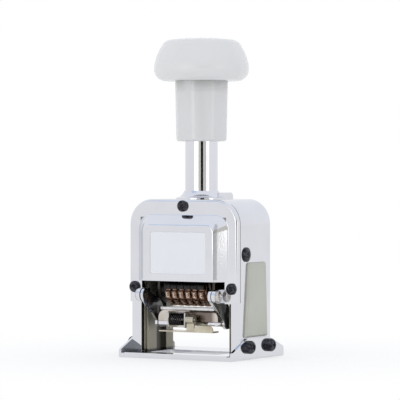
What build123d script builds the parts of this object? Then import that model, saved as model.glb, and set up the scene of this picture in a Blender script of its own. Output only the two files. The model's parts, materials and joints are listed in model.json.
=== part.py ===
import os
from math import cos, radians, sin, sqrt

from build123d import *

os.makedirs("parts", exist_ok=True)

# A hand numbering machine. X runs to the right, Y to the back and Z up. The plunger slides on the
# Z axis, and Z = 0 is the underside of the base. Millimetres and degrees.

CENTRED_UP = (Align.CENTER, Align.CENTER, Align.MIN)
CENTRED_DOWN = (Align.CENTER, Align.CENTER, Align.MAX)

# Clearances
slip = 0.05          # radial play of a fixed pin, and the play of a part in its window
run_fit = 0.05       # radial play of a turning shaft
rub_gap = 0.3        # between faces that pass each other
side_gap = 0.5       # beside a swinging arm

# What the machine does
stroke = 29.2        # travel of the knob, from rest to print
paper_gap = 0.1      # type to paper at the end of the stroke
ink_gap = 0.3        # type to pad at rest

# Casting
body_width = 72.4
body_depth = 35.7
body_top = 91.5
body_corner = 14.5
leg_wall = 6.2
crown_wall = 9.0
back_wall = 2.6
back_opening_top = 46.0
casting_edge = 1.2

# Base plate with its two ears
plate_depth = 60.0
plate_wall = 3.0
window_width = 46.0
window_front = -21.0
window_back = 4.0
window_corner = 3.0
ear_wall = 1.8
ear_height = 12.2
ear_top_half = 12.6
ear_front_tip = 4.7
ear_back_tip = 5.6
ear_corner = 1.6
ear_screw_y = 12.0
ear_screw_z = 7.3

# Front cover and hood
cover_wall = 3.2
cover_bottom = 32.1
cover_edge = 1.6
cover_leg = 8.5
hood_reach = 6.0
hood_wall = 1.3
hood_edge = 2.0          # rounding of the hood's face, and the hollow at its foot
hood_root = 0.9
hood_bottom = 44.6
hood_foot_width = 59.6
hood_foot_top = 82.5
hood_foot_corner = 8.0
hood_face_width = 47.0
hood_face_top = 77.0
hood_face_corner = 5.0
label_width = 37.0
label_bottom = 48.8
label_top = 72.9
label_corner = 1.5
label_wall = 0.4
label_depth = 0.5
lug_radius = 3.8
lug_wall = 2.3
lug_reach = 5.15         # pivot before the cover's face

# Black screws: head radius, head height, shank radius, shank length
COVER_SCREW = (3.3, 1.9, 1.5, 7.0)
FLANK_SCREW = (4.2, 1.3, 1.7, 5.0)
EAR_SCREW = (3.8, 3.8, 1.5, 6.0)
PIVOT_SCREW = (3.4, 1.6, 1.7, 5.0)
PLATE_SCREW = (2.4, 1.1, 1.2, 6.0)
SHOE_SCREW = (2.1, 1.1, 1.1, 6.5)
COMB_SCREW = (1.6, 0.9, 0.9, 3.0)
recess_span = 1.1        # cross recess, as shares of the head's radius
recess_slot = 0.28
recess_sink = 0.5        # recess and bevel, as shares of the head's height
head_bevel = 0.35
top_screw_z = 87.7
leg_screw_x = 32.4
leg_screw_z = 40.7
flank_screw_y = -11.2
flank_screw_z = 60.1

# Plastic guides in the legs
guide_bottom = 12.6
guide_top = 55.4
guide_foot_front = -14.0
guide_foot_back = 12.0
guide_head_half = 10.0
guide_proud = 1.7
guide_bevel = 1.1
rail_wall = 2.8
rail_front = -15.0
rail_back = 13.4
rail_top = 58.0
groove_half = 5.4
groove_depth = 2.4
rail_slot_width = 1.6    # slot in the front face of each rail
rail_slot_depth = 2.2

# Column on the crown
column_radius = 9.5
column_bore = 7.7
column_seat = 7.5
collar_height = 4.8
collar_radius = 14.8
collar_edge = 0.8
collar_lip = 0.6
collar_sag = 0.9         # hollow of the flare
collar_pad_width = 24.0
collar_pad_back = 16.0
collar_pad_height = 3.7
collar_pad_bevel = 1.6
landing_gap = 0.6
column_overlap = 3.3     # washer above the column's top at the end of the stroke

# Knob and grip
grip_length = 35.0
grip_top_width = 31.6    # across two opposite corners, before they are rounded
grip_bottom_width = 30.0
grip_bulge = 0.75        # swell of each side
grip_corner = 7.0
grip_sides = 8
grip_turn = 12.0
grip_edge = 1.6
grip_mouth_radius = 11.2
grip_mouth_depth = 1.4
spigot_radius = 12.0
spigot_height = 3.2
knob_radius = 27.6
knob_height = 25.0
knob_widest = 6.8        # height of the widest ring above the knob's underside
knob_flank_radius = 26.95
knob_flank = 13.3        # depth of the flank, the shoulder and the face's rim below the knob's top
knob_shoulder_radius = 22.6
knob_shoulder = 3.8
knob_face_radius = 18.1
knob_crown = 1.1
knob_foot_radius = 21.5
rod_boss_depth = 12.2

# Rod, bush, spring
rod_radius = 4.0
rod_neck_radius = 3.0
rod_neck_top = 8.0
bush_height = 14.0
stop_ring_wall = 3.0
stop_ring_radius = 10.0
washer_wall = 1.5
washer_radius = 8.5
spring_radius = 5.9
spring_wire = 0.8
spring_turns = 9
wire_sides = 6
nut_across = 10.0
nut_sides = 6
nut_height = 5.0

# Carriage
crosshead_width = 35.2
crosshead_height = 12.2
crosshead_front = -6.0
crosshead_back = 8.0
plate_screw_margin = 3.8
cheek_wall = 1.6
cheek_radius = 8.0
cheek_top_front = -14.0
shoe_half = 5.3
shoe_height = 28.7
shoe_drop = 6.0          # shoe's lower end below the wheel shaft
shoe_screw_margin = 3.9
tie_radius = 2.0
tie_y = -11.0
tie_drop = 8.0           # below the carriage's top

# Digit wheels
wheel_count = 6
wheel_pitch = 4.5
wheel_gap = 0.2
wheel_y = -9.5
wheel_radius = 9.7
type_height = 0.3        # relief of the figures above the blocks
type_sides = 10
type_width = 4.5
type_root = 8.3
rim_width = 3.0
ratchet_radius = 8.2
ratchet_root = 7.0
tooth_step = 4.0         # degrees from a tooth's tip to the root before it
shaft_radius = 2.0
shaft_clip_radius = 3.8
shaft_clip_wall = 1.0
spacer_radius = 3.6

# Pawl carrier, which rocks on the wheel shaft
pawl_arm_wall = 1.4
pawl_arm_radius = 5.2
pawl_bar_radius = 1.8
pawl_bar_reach = 13.4
pawl_bar_angle = 62.0
pawl_hub_radius = 3.0
pawl_tip_angle = 8.0
pawl_heel_angle = 40.0
pawl_gap = 0.3
pawl_finger = 2.2        # finger's depth, and degrees from the bar to its neck and along its bevel
pawl_neck_turn = 11.0
pawl_tip_bevel = 6.0
shield_wall = 0.6        # sheet over the type, one for each finger
shield_tip_angle = 3.0
finger_gap = 0.15

# Detent comb
comb_leaf = 0.5
comb_front = -0.9
comb_tip = 40.5
comb_back_bottom = 47.2
comb_bar_bottom = 52.8
comb_bar_height = 2.8
comb_bar_depth = 4.0
comb_screw_x = 9.0

# Ink carrier
pad_width = 36.4
pad_front = -16.5
pad_back = -2.6
pad_lip_height = 0.4
pad_lip_depth = 1.9
pad_sheet = 1.5          # pad above the tray's rim
tray_width = 40.0
tray_front = -15.5
tray_back = -2.0
tray_height = 6.6
tray_wall = 0.9
tray_corner = 4.5
strap_inner = 21.4
strap_wall = 2.0
eye_radius = 3.8
arm_front_knee = (-17.5, 24.4)   # corners of the arm's outline
arm_back_knee = (-9.5, 32.0)
arm_back_foot = 25.0
arm_front_root = (-2.4, -2.9)    # where the outline leaves the eye, from the pivot
arm_back_root = (2.0, 3.2)
strap_bar_front = -13.8
strap_bar_back = -11.2
strap_bar_height = 2.3
strap_drop = 1.6
strap_back = -4.6
latch_left = -9.8
latch_right = 2.0
latch_wall = 0.8
latch_reach = 6.4
latch_rise = 6.1         # bracket above the tray's underside
latch_gap = 1.5          # bracket above the finger tab
latch_corner = 1.8
latch_pin_radius = 0.9
latch_pin_forward = 4.75
latch_pin_height = 3.9
latch_spring_radius = 3.1
latch_spring_wire = 0.5
latch_spring_turns = 7
tab_left = -16.0
tab_right = 20.0
tab_front = -21.4
tab_back = -12.5
tab_wall = 0.8
tab_drop = 2.6
tab_corner = 2.5
tab_hub_radius = 2.4
tab_hub_width = 5.0
tab_web = 1.6
tab_cup_height = 4.0     # turned-up front of the tab's right half
tab_cup_left = 7.5

# Places that follow from the sizes
half_width = body_width / 2
half_depth = body_depth / 2
leg_inner = half_width - leg_wall
crown_z = body_top - crown_wall
ear_outer = half_width + ear_wall
cover_front = half_depth + cover_wall
hood_front = cover_front + hood_reach
pivot_y = -cover_front - lug_reach
pivot_z = cover_bottom + side_gap + lug_radius
lug_inner = strap_inner + strap_wall + side_gap
lug_outer = lug_inner + lug_wall

wheel_z = stroke + wheel_radius + type_height + paper_gap
column_foot = body_top - column_seat
bush_top = column_foot + bush_height
collar_top = body_top + collar_height
grip_bottom = body_top + max(collar_pad_height, collar_height - grip_mouth_depth) + landing_gap + stroke
knob_bottom = grip_bottom + grip_length
knob_top = knob_bottom + knob_height
washer_top = knob_bottom + rod_boss_depth
washer_bottom = washer_top - washer_wall
column_top = washer_bottom - stroke - column_overlap
carriage_top = crown_z - stop_ring_wall - rub_gap
crosshead_bottom = carriage_top - crosshead_height

cheek_inner = crosshead_width / 2
cheek_outer = cheek_inner + cheek_wall
shoe_bottom = wheel_z - shoe_drop
shoe_outer = leg_inner - rail_wall + groove_depth - rub_gap
stack_width = wheel_count * wheel_pitch - wheel_gap
ratchet_width = wheel_pitch - wheel_gap - rim_width
pawl_arm_inner = stack_width / 2 + side_gap
pawl_arm_outer = pawl_arm_inner + pawl_arm_wall

pad_top = wheel_z - wheel_radius - type_height - ink_gap
tray_top = pad_top - pad_sheet
tray_bottom = tray_top - tray_height
strap_bar_bottom = tray_bottom - strap_bar_height
strap_bottom = strap_bar_bottom - strap_drop
tab_top = strap_bar_bottom - tab_drop
latch_top = tray_bottom + latch_rise
latch_bottom = tab_top + latch_gap
latch_pin_y = tray_front - latch_pin_forward
latch_pin_z = strap_bar_bottom + latch_pin_height

front = Plane.XZ.offset(half_depth)
cover_face = Plane.XZ.offset(cover_front)
hood_face = Plane.XZ.offset(hood_front)
right_flank = Plane.YZ.offset(half_width)


def save(piece, name):
    piece.label = name
    export_step(piece, f"parts/{name}.step")


def mirrored(piece):
    with BuildPart() as other:
        add(mirror(piece, about=Plane.YZ))
    return other.part


def screw(size):
    # A pan head with a cross recess, standing on Z = 0 with its shank below
    head_radius, head_height, shank_radius, shank_length = size
    recess_arm = head_radius * recess_span
    recess_width = head_radius * recess_slot
    with BuildPart() as piece:
        Cylinder(head_radius, head_height, align=CENTRED_UP)
        chamfer(piece.edges().sort_by(Axis.Z)[-1], length=head_height * head_bevel)
        with BuildSketch(Plane.XY.offset(head_height)):
            Rectangle(recess_arm, recess_width)
            Rectangle(recess_width, recess_arm)
        extrude(amount=-head_height * recess_sink, mode=Mode.SUBTRACT)
        Cylinder(shank_radius, shank_length, align=CENTRED_DOWN)
    return piece.part


def screws(size, plane, points):
    with BuildPart() as group:
        with Locations(plane):
            with Locations(*points):
                add(screw(size))
    return group.part


def around_shaft(radius, angle):
    # A point in the side view: the angle is measured at the wheel shaft, from the front upwards
    return (wheel_y - radius * cos(radians(angle)), wheel_z + radius * sin(radians(angle)))


# Housing

with BuildPart() as base_plate:
    with BuildSketch():
        Rectangle(body_width, plate_depth)
        with Locations((0, (window_front + window_back) / 2)):
            RectangleRounded(window_width, window_back - window_front, window_corner, mode=Mode.SUBTRACT)
    extrude(amount=plate_wall)
    with BuildSketch(right_flank) as ear:
        with BuildLine():
            Polyline(
                (-plate_depth / 2, 0),
                (-plate_depth / 2, ear_front_tip),
                (-ear_top_half, ear_height),
                (ear_top_half, ear_height),
                (plate_depth / 2, ear_back_tip),
                (plate_depth / 2, 0),
                close=True,
            )
        make_face()
        fillet(ear.vertices().filter_by_position(Axis.Y, plate_wall, ear_height), radius=ear_corner)
        with Locations((-ear_screw_y, ear_screw_z), (ear_screw_y, ear_screw_z)):
            Circle(EAR_SCREW[2] + slip, mode=Mode.SUBTRACT)
    extrude(amount=ear_wall)
    fillet(base_plate.edges().group_by(Axis.X)[-1].group_by(Axis.Z)[0], radius=ear_wall / 2)
    mirror(about=Plane.YZ)

with BuildPart() as frame:
    with BuildSketch(front) as arch:
        with Locations((0, (body_top + plate_wall) / 2)):
            Rectangle(body_width, body_top - plate_wall)
        fillet(arch.vertices().group_by(Axis.Y)[-1], radius=body_corner)
    extrude(amount=-body_depth)
    back_rim = frame.faces().sort_by(Axis.Y)[-1].edges().sort_by(Axis.Z)[1:]
    fillet(back_rim, radius=casting_edge)
    with BuildSketch(front) as cavity:
        with Locations((0, (crown_z + plate_wall) / 2)):
            Rectangle(2 * leg_inner, crown_z - plate_wall)
        fillet(cavity.vertices().group_by(Axis.Y)[-1], radius=body_corner - leg_wall)
    extrude(amount=-(body_depth - back_wall), mode=Mode.SUBTRACT)
    with BuildSketch(front):
        with Locations((0, (back_opening_top + plate_wall) / 2)):
            Rectangle(2 * leg_inner, back_opening_top - plate_wall)
    extrude(amount=-body_depth, mode=Mode.SUBTRACT)
    with BuildSketch(Plane.YZ):
        with BuildLine():
            Polyline(
                (guide_foot_front, guide_bottom),
                (-guide_head_half, guide_top),
                (guide_head_half, guide_top),
                (guide_foot_back, guide_bottom),
                close=True,
            )
        make_face()
    extrude(amount=half_width, both=True, mode=Mode.SUBTRACT)
    with Locations((0, 0, body_top)):
        CounterBoreHole(
            radius=rod_radius + side_gap,
            counter_bore_radius=column_radius + slip,
            counter_bore_depth=column_seat,
            depth=crown_wall,
        )
    with Locations(front):
        with Locations((0, top_screw_z), (-leg_screw_x, leg_screw_z), (leg_screw_x, leg_screw_z)):
            Hole(COVER_SCREW[2] + slip, depth=COVER_SCREW[3] - cover_wall)
    for flank in (right_flank, Plane.YZ.rotated((0, 0, 180)).offset(half_width)):
        turn = flank.z_dir.X
        with Locations(flank):
            with Locations((turn * flank_screw_y, flank_screw_z)):
                Hole(FLANK_SCREW[2] + slip, depth=FLANK_SCREW[3])
            with Locations((-ear_screw_y, ear_screw_z), (ear_screw_y, ear_screw_z)):
                Hole(EAR_SCREW[2] + slip, depth=EAR_SCREW[3] - ear_wall)

with BuildPart() as front_cover:
    with BuildSketch(front) as shield:
        with Locations((0, (body_top + cover_bottom) / 2)):
            Rectangle(body_width, body_top - cover_bottom)
        fillet(shield.vertices().group_by(Axis.Y)[-1], radius=body_corner)
    extrude(amount=cover_wall)
    front_rim = front_cover.faces().sort_by(Axis.Y)[0].edges().sort_by(Axis.Z)[1:]
    fillet(front_rim, radius=cover_edge)
    with BuildSketch(cover_face) as hood_foot:
        with Locations((0, (hood_foot_top + hood_bottom) / 2)):
            Rectangle(hood_foot_width, hood_foot_top - hood_bottom)
        fillet(hood_foot.vertices().group_by(Axis.Y)[-1], radius=hood_foot_corner)
    with BuildSketch(hood_face) as hood_brow:
        with Locations((0, (hood_face_top + hood_bottom) / 2)):
            Rectangle(hood_face_width, hood_face_top - hood_bottom)
        fillet(hood_brow.vertices().group_by(Axis.Y)[-1], radius=hood_face_corner)
    loft()
    hood_foot_rim = front_cover.edges(Select.LAST).filter_by_position(Axis.Y, -cover_front - slip, -cover_front + slip)
    fillet(hood_foot_rim.sort_by(Axis.Z)[1:], radius=hood_root)
    hood_rim = front_cover.faces().sort_by(Axis.Y)[0].edges().sort_by(Axis.Z)[1:]
    fillet(hood_rim, radius=hood_edge)
    with BuildSketch(front):
        with Locations((0, (cover_bottom + hood_bottom) / 2)):
            Rectangle(body_width - 2 * cover_leg, hood_bottom - cover_bottom)
    extrude(amount=cover_wall, mode=Mode.SUBTRACT)
    with BuildSketch(front) as hollow_foot:
        with Locations((0, (hood_foot_top - hood_wall + hood_bottom) / 2)):
            Rectangle(hood_foot_width - 2 * hood_wall, hood_foot_top - hood_wall - hood_bottom)
        fillet(hollow_foot.vertices().group_by(Axis.Y)[-1], radius=hood_foot_corner - hood_wall)
    extrude(amount=cover_wall, mode=Mode.SUBTRACT)
    with BuildSketch(cover_face) as hollow_back:
        with Locations((0, (hood_foot_top - hood_wall + hood_bottom) / 2)):
            Rectangle(hood_foot_width - 2 * hood_wall, hood_foot_top - hood_wall - hood_bottom)
        fillet(hollow_back.vertices().group_by(Axis.Y)[-1], radius=hood_foot_corner - hood_wall)
    with BuildSketch(hood_face.offset(-hood_wall)) as hollow_brow:
        with Locations((0, (hood_face_top - hood_wall + hood_bottom) / 2)):
            Rectangle(hood_face_width - 2 * hood_wall, hood_face_top - hood_wall - hood_bottom)
        fillet(hollow_brow.vertices().group_by(Axis.Y)[-1], radius=hood_face_corner - hood_wall)
    loft(mode=Mode.SUBTRACT)
    with BuildSketch(hood_face):
        with Locations((0, (label_bottom + label_top) / 2)):
            RectangleRounded(label_width, label_top - label_bottom, label_corner)
    extrude(amount=-label_depth, mode=Mode.SUBTRACT)
    # Pivot lugs: a tab from the leg's inner edge, bent forwards
    for hand in (1, -1):
        with BuildSketch(front):
            with Locations((hand * (lug_inner + half_width - cover_leg) / 2, pivot_z)):
                Rectangle(half_width - cover_leg - lug_inner + slip, 2 * lug_radius)
        extrude(amount=cover_wall)
        with BuildSketch(Plane.YZ.offset(hand * (lug_inner + lug_outer) / 2)):
            with Locations(((pivot_y - cover_front) / 2, pivot_z)):
                Rectangle(-cover_front - pivot_y, 2 * lug_radius)
            with Locations((pivot_y, pivot_z)):
                Circle(lug_radius)
                Circle(PIVOT_SCREW[2] + slip, mode=Mode.SUBTRACT)
        extrude(amount=lug_wall / 2, both=True)
    with Locations(cover_face):
        with Locations((0, top_screw_z), (-leg_screw_x, leg_screw_z), (leg_screw_x, leg_screw_z)):
            Hole(COVER_SCREW[2] + slip, depth=cover_wall)

with BuildPart() as label_plate:
    with BuildSketch(hood_face.offset(-label_depth)):
        with Locations((0, (label_bottom + label_top) / 2)):
            RectangleRounded(
                label_width - 2 * slip, label_top - label_bottom - 2 * slip, label_corner - slip
            )
    extrude(amount=label_wall)

with BuildPart() as guide_insert_right:
    with BuildSketch(Plane.YZ.offset(leg_inner)) as window:
        with BuildLine():
            Polyline(
                (guide_foot_front, guide_bottom),
                (-guide_head_half, guide_top),
                (guide_head_half, guide_top),
                (guide_foot_back, guide_bottom),
                close=True,
            )
        make_face()
        offset(amount=-slip, kind=Kind.INTERSECTION, mode=Mode.REPLACE)
    extrude(amount=leg_wall + guide_proud)
    chamfer(guide_insert_right.faces().sort_by(Axis.X)[-1].edges(), length=guide_bevel)
    with BuildSketch(Plane.YZ.offset(leg_inner)):
        with Locations(((rail_front + rail_back) / 2, (rail_top + plate_wall + slip) / 2)):
            Rectangle(rail_back - rail_front, rail_top - plate_wall - slip)
    extrude(amount=-rail_wall)
    with BuildSketch(Plane.YZ.offset(leg_inner - rail_wall)):
        with Locations((0, (rail_top + plate_wall) / 2)):
            Rectangle(2 * groove_half, rail_top - plate_wall)
    extrude(amount=groove_depth, mode=Mode.SUBTRACT)
    with BuildSketch(Plane.XZ.offset(-rail_front)):
        with Locations((leg_inner - rail_wall / 2, (rail_top + plate_wall) / 2)):
            Rectangle(rail_slot_width, rail_top - plate_wall)
    extrude(amount=-rail_slot_depth, mode=Mode.SUBTRACT)

with BuildPart() as column_collar:
    with BuildSketch(Plane.XZ):
        with BuildLine():
            rim = Polyline(
                (column_radius + slip, collar_top),
                (column_radius + slip, body_top),
                (collar_radius, body_top),
                (collar_radius, body_top + collar_edge),
            )
            flare = SagittaArc(rim @ 1, (column_radius + collar_lip, collar_top), collar_sag)
            Line(flare @ 1, rim @ 0)
        make_face()
    revolve(axis=Axis.Z)
    with BuildSketch(Plane.XY.offset(body_top)):
        with Locations((0, collar_pad_back / 2)):
            Rectangle(collar_pad_width, collar_pad_back)
        Circle(column_radius + slip, mode=Mode.SUBTRACT)
    extrude(amount=collar_pad_height)
    pad_face = column_collar.faces().filter_by(Plane.XY).filter_by_position(
        Axis.Z, body_top + collar_pad_height - slip, body_top + collar_pad_height + slip
    )[0]
    pad_rim = pad_face.edges().filter_by(GeomType.LINE).filter_by_position(
        Axis.Y, collar_pad_back - slip, collar_pad_back + slip
    )
    chamfer(pad_rim, length=collar_pad_bevel)

with BuildPart() as column_tube:
    with BuildSketch(Plane.XY.offset(column_foot)):
        Circle(column_radius)
        Circle(column_bore, mode=Mode.SUBTRACT)
    extrude(amount=column_top - column_foot)

with BuildPart() as rod_bush:
    with BuildSketch(Plane.XY.offset(column_foot)):
        Circle(column_bore - slip)
        Circle(rod_radius + run_fit, mode=Mode.SUBTRACT)
    extrude(amount=bush_height)

with BuildPart() as stop_ring:
    with BuildSketch(Plane.XY.offset(crown_z)):
        Circle(stop_ring_radius)
        Circle(rod_radius + side_gap, mode=Mode.SUBTRACT)
    extrude(amount=-stop_ring_wall)

cover_screws = screws(
    COVER_SCREW, cover_face, [(0, top_screw_z), (-leg_screw_x, leg_screw_z), (leg_screw_x, leg_screw_z)]
)
flank_screw = screws(FLANK_SCREW, right_flank, [(flank_screw_y, flank_screw_z)])
ear_screw_pair = screws(
    EAR_SCREW, Plane.YZ.offset(ear_outer), [(-ear_screw_y, ear_screw_z), (ear_screw_y, ear_screw_z)]
)
pivot_screw = screws(PIVOT_SCREW, Plane.YZ.offset(lug_outer), [(pivot_y, pivot_z)])

with BuildPart() as side_screws:
    add(flank_screw)
    mirror(about=Plane.YZ)

with BuildPart() as base_screws:
    add(ear_screw_pair)
    mirror(about=Plane.YZ)

with BuildPart() as ink_pivot_screws:
    add(pivot_screw)
    mirror(about=Plane.YZ)

# Knob, rod and spring

with BuildPart() as knob_cap:
    with BuildSketch(Plane.XZ):
        with BuildLine():
            foot = Line((0, knob_bottom), (knob_foot_radius, knob_bottom))
            widest = (knob_radius, knob_bottom + knob_widest)
            TangentArc(widest, foot @ 1, tangent=(0, -1))
            flank = TangentArc(widest, (knob_flank_radius, knob_top - knob_flank), tangent=(0, 1))
            side = TangentArc(flank @ 1, (knob_shoulder_radius, knob_top - knob_shoulder), tangent=flank % 1)
            face = TangentArc((0, knob_top), (knob_face_radius, knob_top - knob_crown), tangent=(1, 0))
            TangentArc(side @ 1, face @ 1, tangent=side % 1)
            Line(face @ 0, foot @ 0)
        make_face()
    revolve(axis=Axis.Z)
    with BuildSketch(Plane.XY.offset(knob_bottom)):
        Circle(spigot_radius + slip)
    extrude(amount=spigot_height, mode=Mode.SUBTRACT)
    with BuildSketch(Plane.XY.offset(knob_bottom)):
        Circle(column_radius + side_gap)
    extrude(amount=rod_boss_depth, mode=Mode.SUBTRACT)
    with BuildSketch(Plane.XY.offset(washer_top)):
        Circle(rod_neck_radius + slip)
    extrude(amount=rod_neck_top, mode=Mode.SUBTRACT)



def grip_section(width):
    # A polygon with swollen sides and rounded corners
    step = 360 / grip_sides
    swollen = width / 2 * cos(radians(step / 2)) + grip_bulge
    with BuildSketch() as section:
        with BuildLine():
            for side in range(grip_sides):
                turns = [radians(grip_turn + (side + share) * step) for share in (0, 0.5, 1)]
                reaches = (width / 2, swollen, width / 2)
                ThreePointArc(*[(r * cos(a), r * sin(a)) for r, a in zip(reaches, turns)])
        make_face()
        fillet(section.vertices(), radius=grip_corner)
    return section.sketch


with BuildPart() as grip_sleeve:
    with BuildSketch(Plane.XY.offset(grip_bottom)):
        add(grip_section(grip_bottom_width))
    with BuildSketch(Plane.XY.offset(knob_bottom)):
        add(grip_section(grip_top_width))
    loft()
    fillet(grip_sleeve.edges().group_by(Axis.Z)[0], radius=grip_edge)
    with BuildSketch(Plane.XY.offset(knob_bottom)):
        Circle(spigot_radius)
    extrude(amount=spigot_height)
    with BuildSketch(Plane.XY.offset(grip_bottom)):
        Circle(column_radius + side_gap)
    extrude(amount=grip_length + spigot_height, mode=Mode.SUBTRACT)
    with BuildSketch(Plane.XY.offset(grip_bottom)):
        Circle(grip_mouth_radius)
    extrude(amount=grip_mouth_depth, mode=Mode.SUBTRACT)

with BuildPart() as plunger_rod:
    with BuildSketch(Plane.XY.offset(carriage_top)):
        Circle(rod_radius)
    extrude(amount=washer_bottom - carriage_top)
    with BuildSketch(Plane.XY.offset(crosshead_bottom - nut_height)):
        Circle(rod_neck_radius)
    extrude(amount=washer_top + rod_neck_top - crosshead_bottom + nut_height)

with BuildPart() as rod_nut:
    with BuildSketch(Plane.XY.offset(crosshead_bottom)):
        RegularPolygon(nut_across / 2, nut_sides, major_radius=False)
        Circle(rod_neck_radius + slip, mode=Mode.SUBTRACT)
    extrude(amount=-nut_height)

with BuildPart() as spring_washer:
    with BuildSketch(Plane.XY.offset(washer_bottom)):
        Circle(washer_radius)
        Circle(rod_neck_radius + slip, mode=Mode.SUBTRACT)
    extrude(amount=washer_wall)

with BuildPart() as main_spring:
    coil_height = washer_bottom - bush_top - 2 * spring_wire
    with BuildLine() as coil:
        Helix(coil_height / spring_turns, coil_height, spring_radius, center=(0, 0, bush_top + spring_wire))
    with BuildSketch(Plane(coil.line @ 0, z_dir=coil.line % 0)):
        RegularPolygon(spring_wire, wire_sides)
    sweep(path=coil.line, is_frenet=True)

# Carriage

with BuildPart() as crosshead:
    with BuildSketch(Plane.XY.offset(crosshead_bottom)):
        with Locations((0, (crosshead_front + crosshead_back) / 2)):
            Rectangle(crosshead_width, crosshead_back - crosshead_front)
        Circle(rod_neck_radius + slip, mode=Mode.SUBTRACT)
    extrude(amount=crosshead_height)
    plate_screw_points = [
        (crosshead_front + plate_screw_margin, carriage_top - crosshead_height / 2),
        (crosshead_back - plate_screw_margin, carriage_top - crosshead_height / 2),
    ]
    with Locations(Plane.YZ.offset(crosshead_width / 2)):
        with Locations(*plate_screw_points):
            Hole(PLATE_SCREW[2] + slip, depth=crosshead_width)

shoe_screw_points = [
    (0, shoe_bottom + shoe_screw_margin),
    (0, shoe_bottom + shoe_height - shoe_screw_margin),
]

with BuildPart() as side_plate_right:
    with BuildSketch(Plane.YZ.offset(cheek_inner)):
        with BuildLine():
            Polyline(
                (wheel_y - cheek_radius, wheel_z),
                (wheel_y - cheek_radius, crosshead_bottom),
                (cheek_top_front, carriage_top),
                (crosshead_back, carriage_top),
                (crosshead_back, shoe_bottom + shoe_half),
                (shoe_half, shoe_bottom),
                (-shoe_half, shoe_bottom),
                close=True,
            )
        make_face()
        with Locations((wheel_y, wheel_z)):
            Circle(cheek_radius)
            Circle(shaft_radius + slip, mode=Mode.SUBTRACT)
        with Locations((tie_y, carriage_top - tie_drop)):
            Circle(tie_radius + slip, mode=Mode.SUBTRACT)
        with Locations(*plate_screw_points):
            Circle(PLATE_SCREW[2] + slip, mode=Mode.SUBTRACT)
        with Locations(*shoe_screw_points):
            Circle(SHOE_SCREW[2] + slip, mode=Mode.SUBTRACT)
    extrude(amount=cheek_wall)

with BuildPart() as guide_shoe_right:
    with BuildSketch(Plane.YZ.offset(cheek_outer)):
        with Locations((0, shoe_bottom + shoe_height / 2)):
            Rectangle(2 * shoe_half, shoe_height)
    extrude(amount=shoe_outer - cheek_outer)
    chamfer(guide_shoe_right.faces().sort_by(Axis.X)[-1].edges().filter_by(Axis.Y), length=side_gap)
    with BuildSketch(Plane.YZ.offset(cheek_outer)):
        with Locations(*shoe_screw_points):
            Circle(SHOE_SCREW[2] + slip)
    extrude(amount=SHOE_SCREW[3] - cheek_wall, mode=Mode.SUBTRACT)

plate_screw_pair = screws(PLATE_SCREW, Plane.YZ.offset(cheek_outer), plate_screw_points)
shoe_screw_pair = screws(SHOE_SCREW, Plane.YZ.offset(-cheek_inner), shoe_screw_points)

with BuildPart() as plate_screws:
    add(plate_screw_pair)
    mirror(about=Plane.YZ)

with BuildPart() as shoe_screws:
    add(shoe_screw_pair)
    mirror(about=Plane.YZ)

with BuildPart() as tie_rod:
    with BuildSketch(Plane.YZ.offset(-cheek_outer)):
        with Locations((tie_y, carriage_top - tie_drop)):
            Circle(tie_radius)
    extrude(amount=2 * cheek_outer)

with BuildPart() as wheel_shaft:
    shaft_half = strap_inner - side_gap
    with BuildSketch(Plane.YZ.offset(-shaft_half)):
        with Locations((wheel_y, wheel_z)):
            Circle(shaft_radius)
    extrude(amount=2 * shaft_half)


def collar_pair(inner_face, wall, radius, bore):
    # Two rings on the wheel shaft, one at each end
    with BuildPart() as rings:
        with BuildSketch(Plane.YZ.offset(inner_face)):
            with Locations((wheel_y, wheel_z)):
                Circle(radius)
                Circle(bore, mode=Mode.SUBTRACT)
        extrude(amount=wall)
        mirror(about=Plane.YZ)
    return rings.part


shaft_clips = collar_pair(cheek_outer, shaft_clip_wall, shaft_clip_radius, shaft_radius + slip)
shaft_spacers = collar_pair(
    pawl_arm_outer + finger_gap,
    cheek_inner - pawl_arm_outer - finger_gap,
    spacer_radius,
    shaft_radius + slip,
)


def wheel_left(number):
    return (number - 1) * wheel_pitch - stack_width / 2


def digit_wheel(number):
    # A rim with ten type blocks, and a ratchet on its right
    block_flat = sqrt(wheel_radius**2 - (type_width / 2) ** 2)
    block_depth = block_flat - ratchet_root
    with BuildPart() as wheel:
        with BuildSketch(Plane.YZ.offset(wheel_left(number))):
            with Locations((wheel_y, wheel_z)):
                Circle(type_root)
                with PolarLocations(block_flat - block_depth / 2, type_sides, start_angle=90):
                    Rectangle(block_depth, type_width)
                Circle(shaft_radius + run_fit, mode=Mode.SUBTRACT)
        extrude(amount=rim_width)
        with BuildSketch(Plane.YZ.offset(wheel_left(number) + rim_width)):
            with BuildLine():
                teeth = []
                for tooth in range(type_sides):
                    angle = tooth * 360 / type_sides
                    teeth.append(around_shaft(ratchet_radius, angle))
                    teeth.append(around_shaft(ratchet_root, angle + tooth_step))
                Polyline(*teeth, close=True)
            make_face()
            with Locations((wheel_y, wheel_z)):
                Circle(shaft_radius + run_fit, mode=Mode.SUBTRACT)
        extrude(amount=ratchet_width)
    return wheel.part


with BuildPart() as comb_bar:
    with BuildSketch(Plane.YZ.offset(-cheek_inner)):
        with Locations((comb_front + comb_leaf + comb_bar_depth / 2, comb_bar_bottom + comb_bar_height / 2)):
            Rectangle(comb_bar_depth, comb_bar_height)
    extrude(amount=2 * cheek_inner)
    with Locations(Plane.XZ.offset(-comb_front - comb_leaf)):
        with Locations(*[(x, comb_bar_bottom + comb_bar_height / 2) for x in (-comb_screw_x, comb_screw_x)]):
            Hole(COMB_SCREW[2] + slip, depth=COMB_SCREW[3] - comb_leaf)

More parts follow.
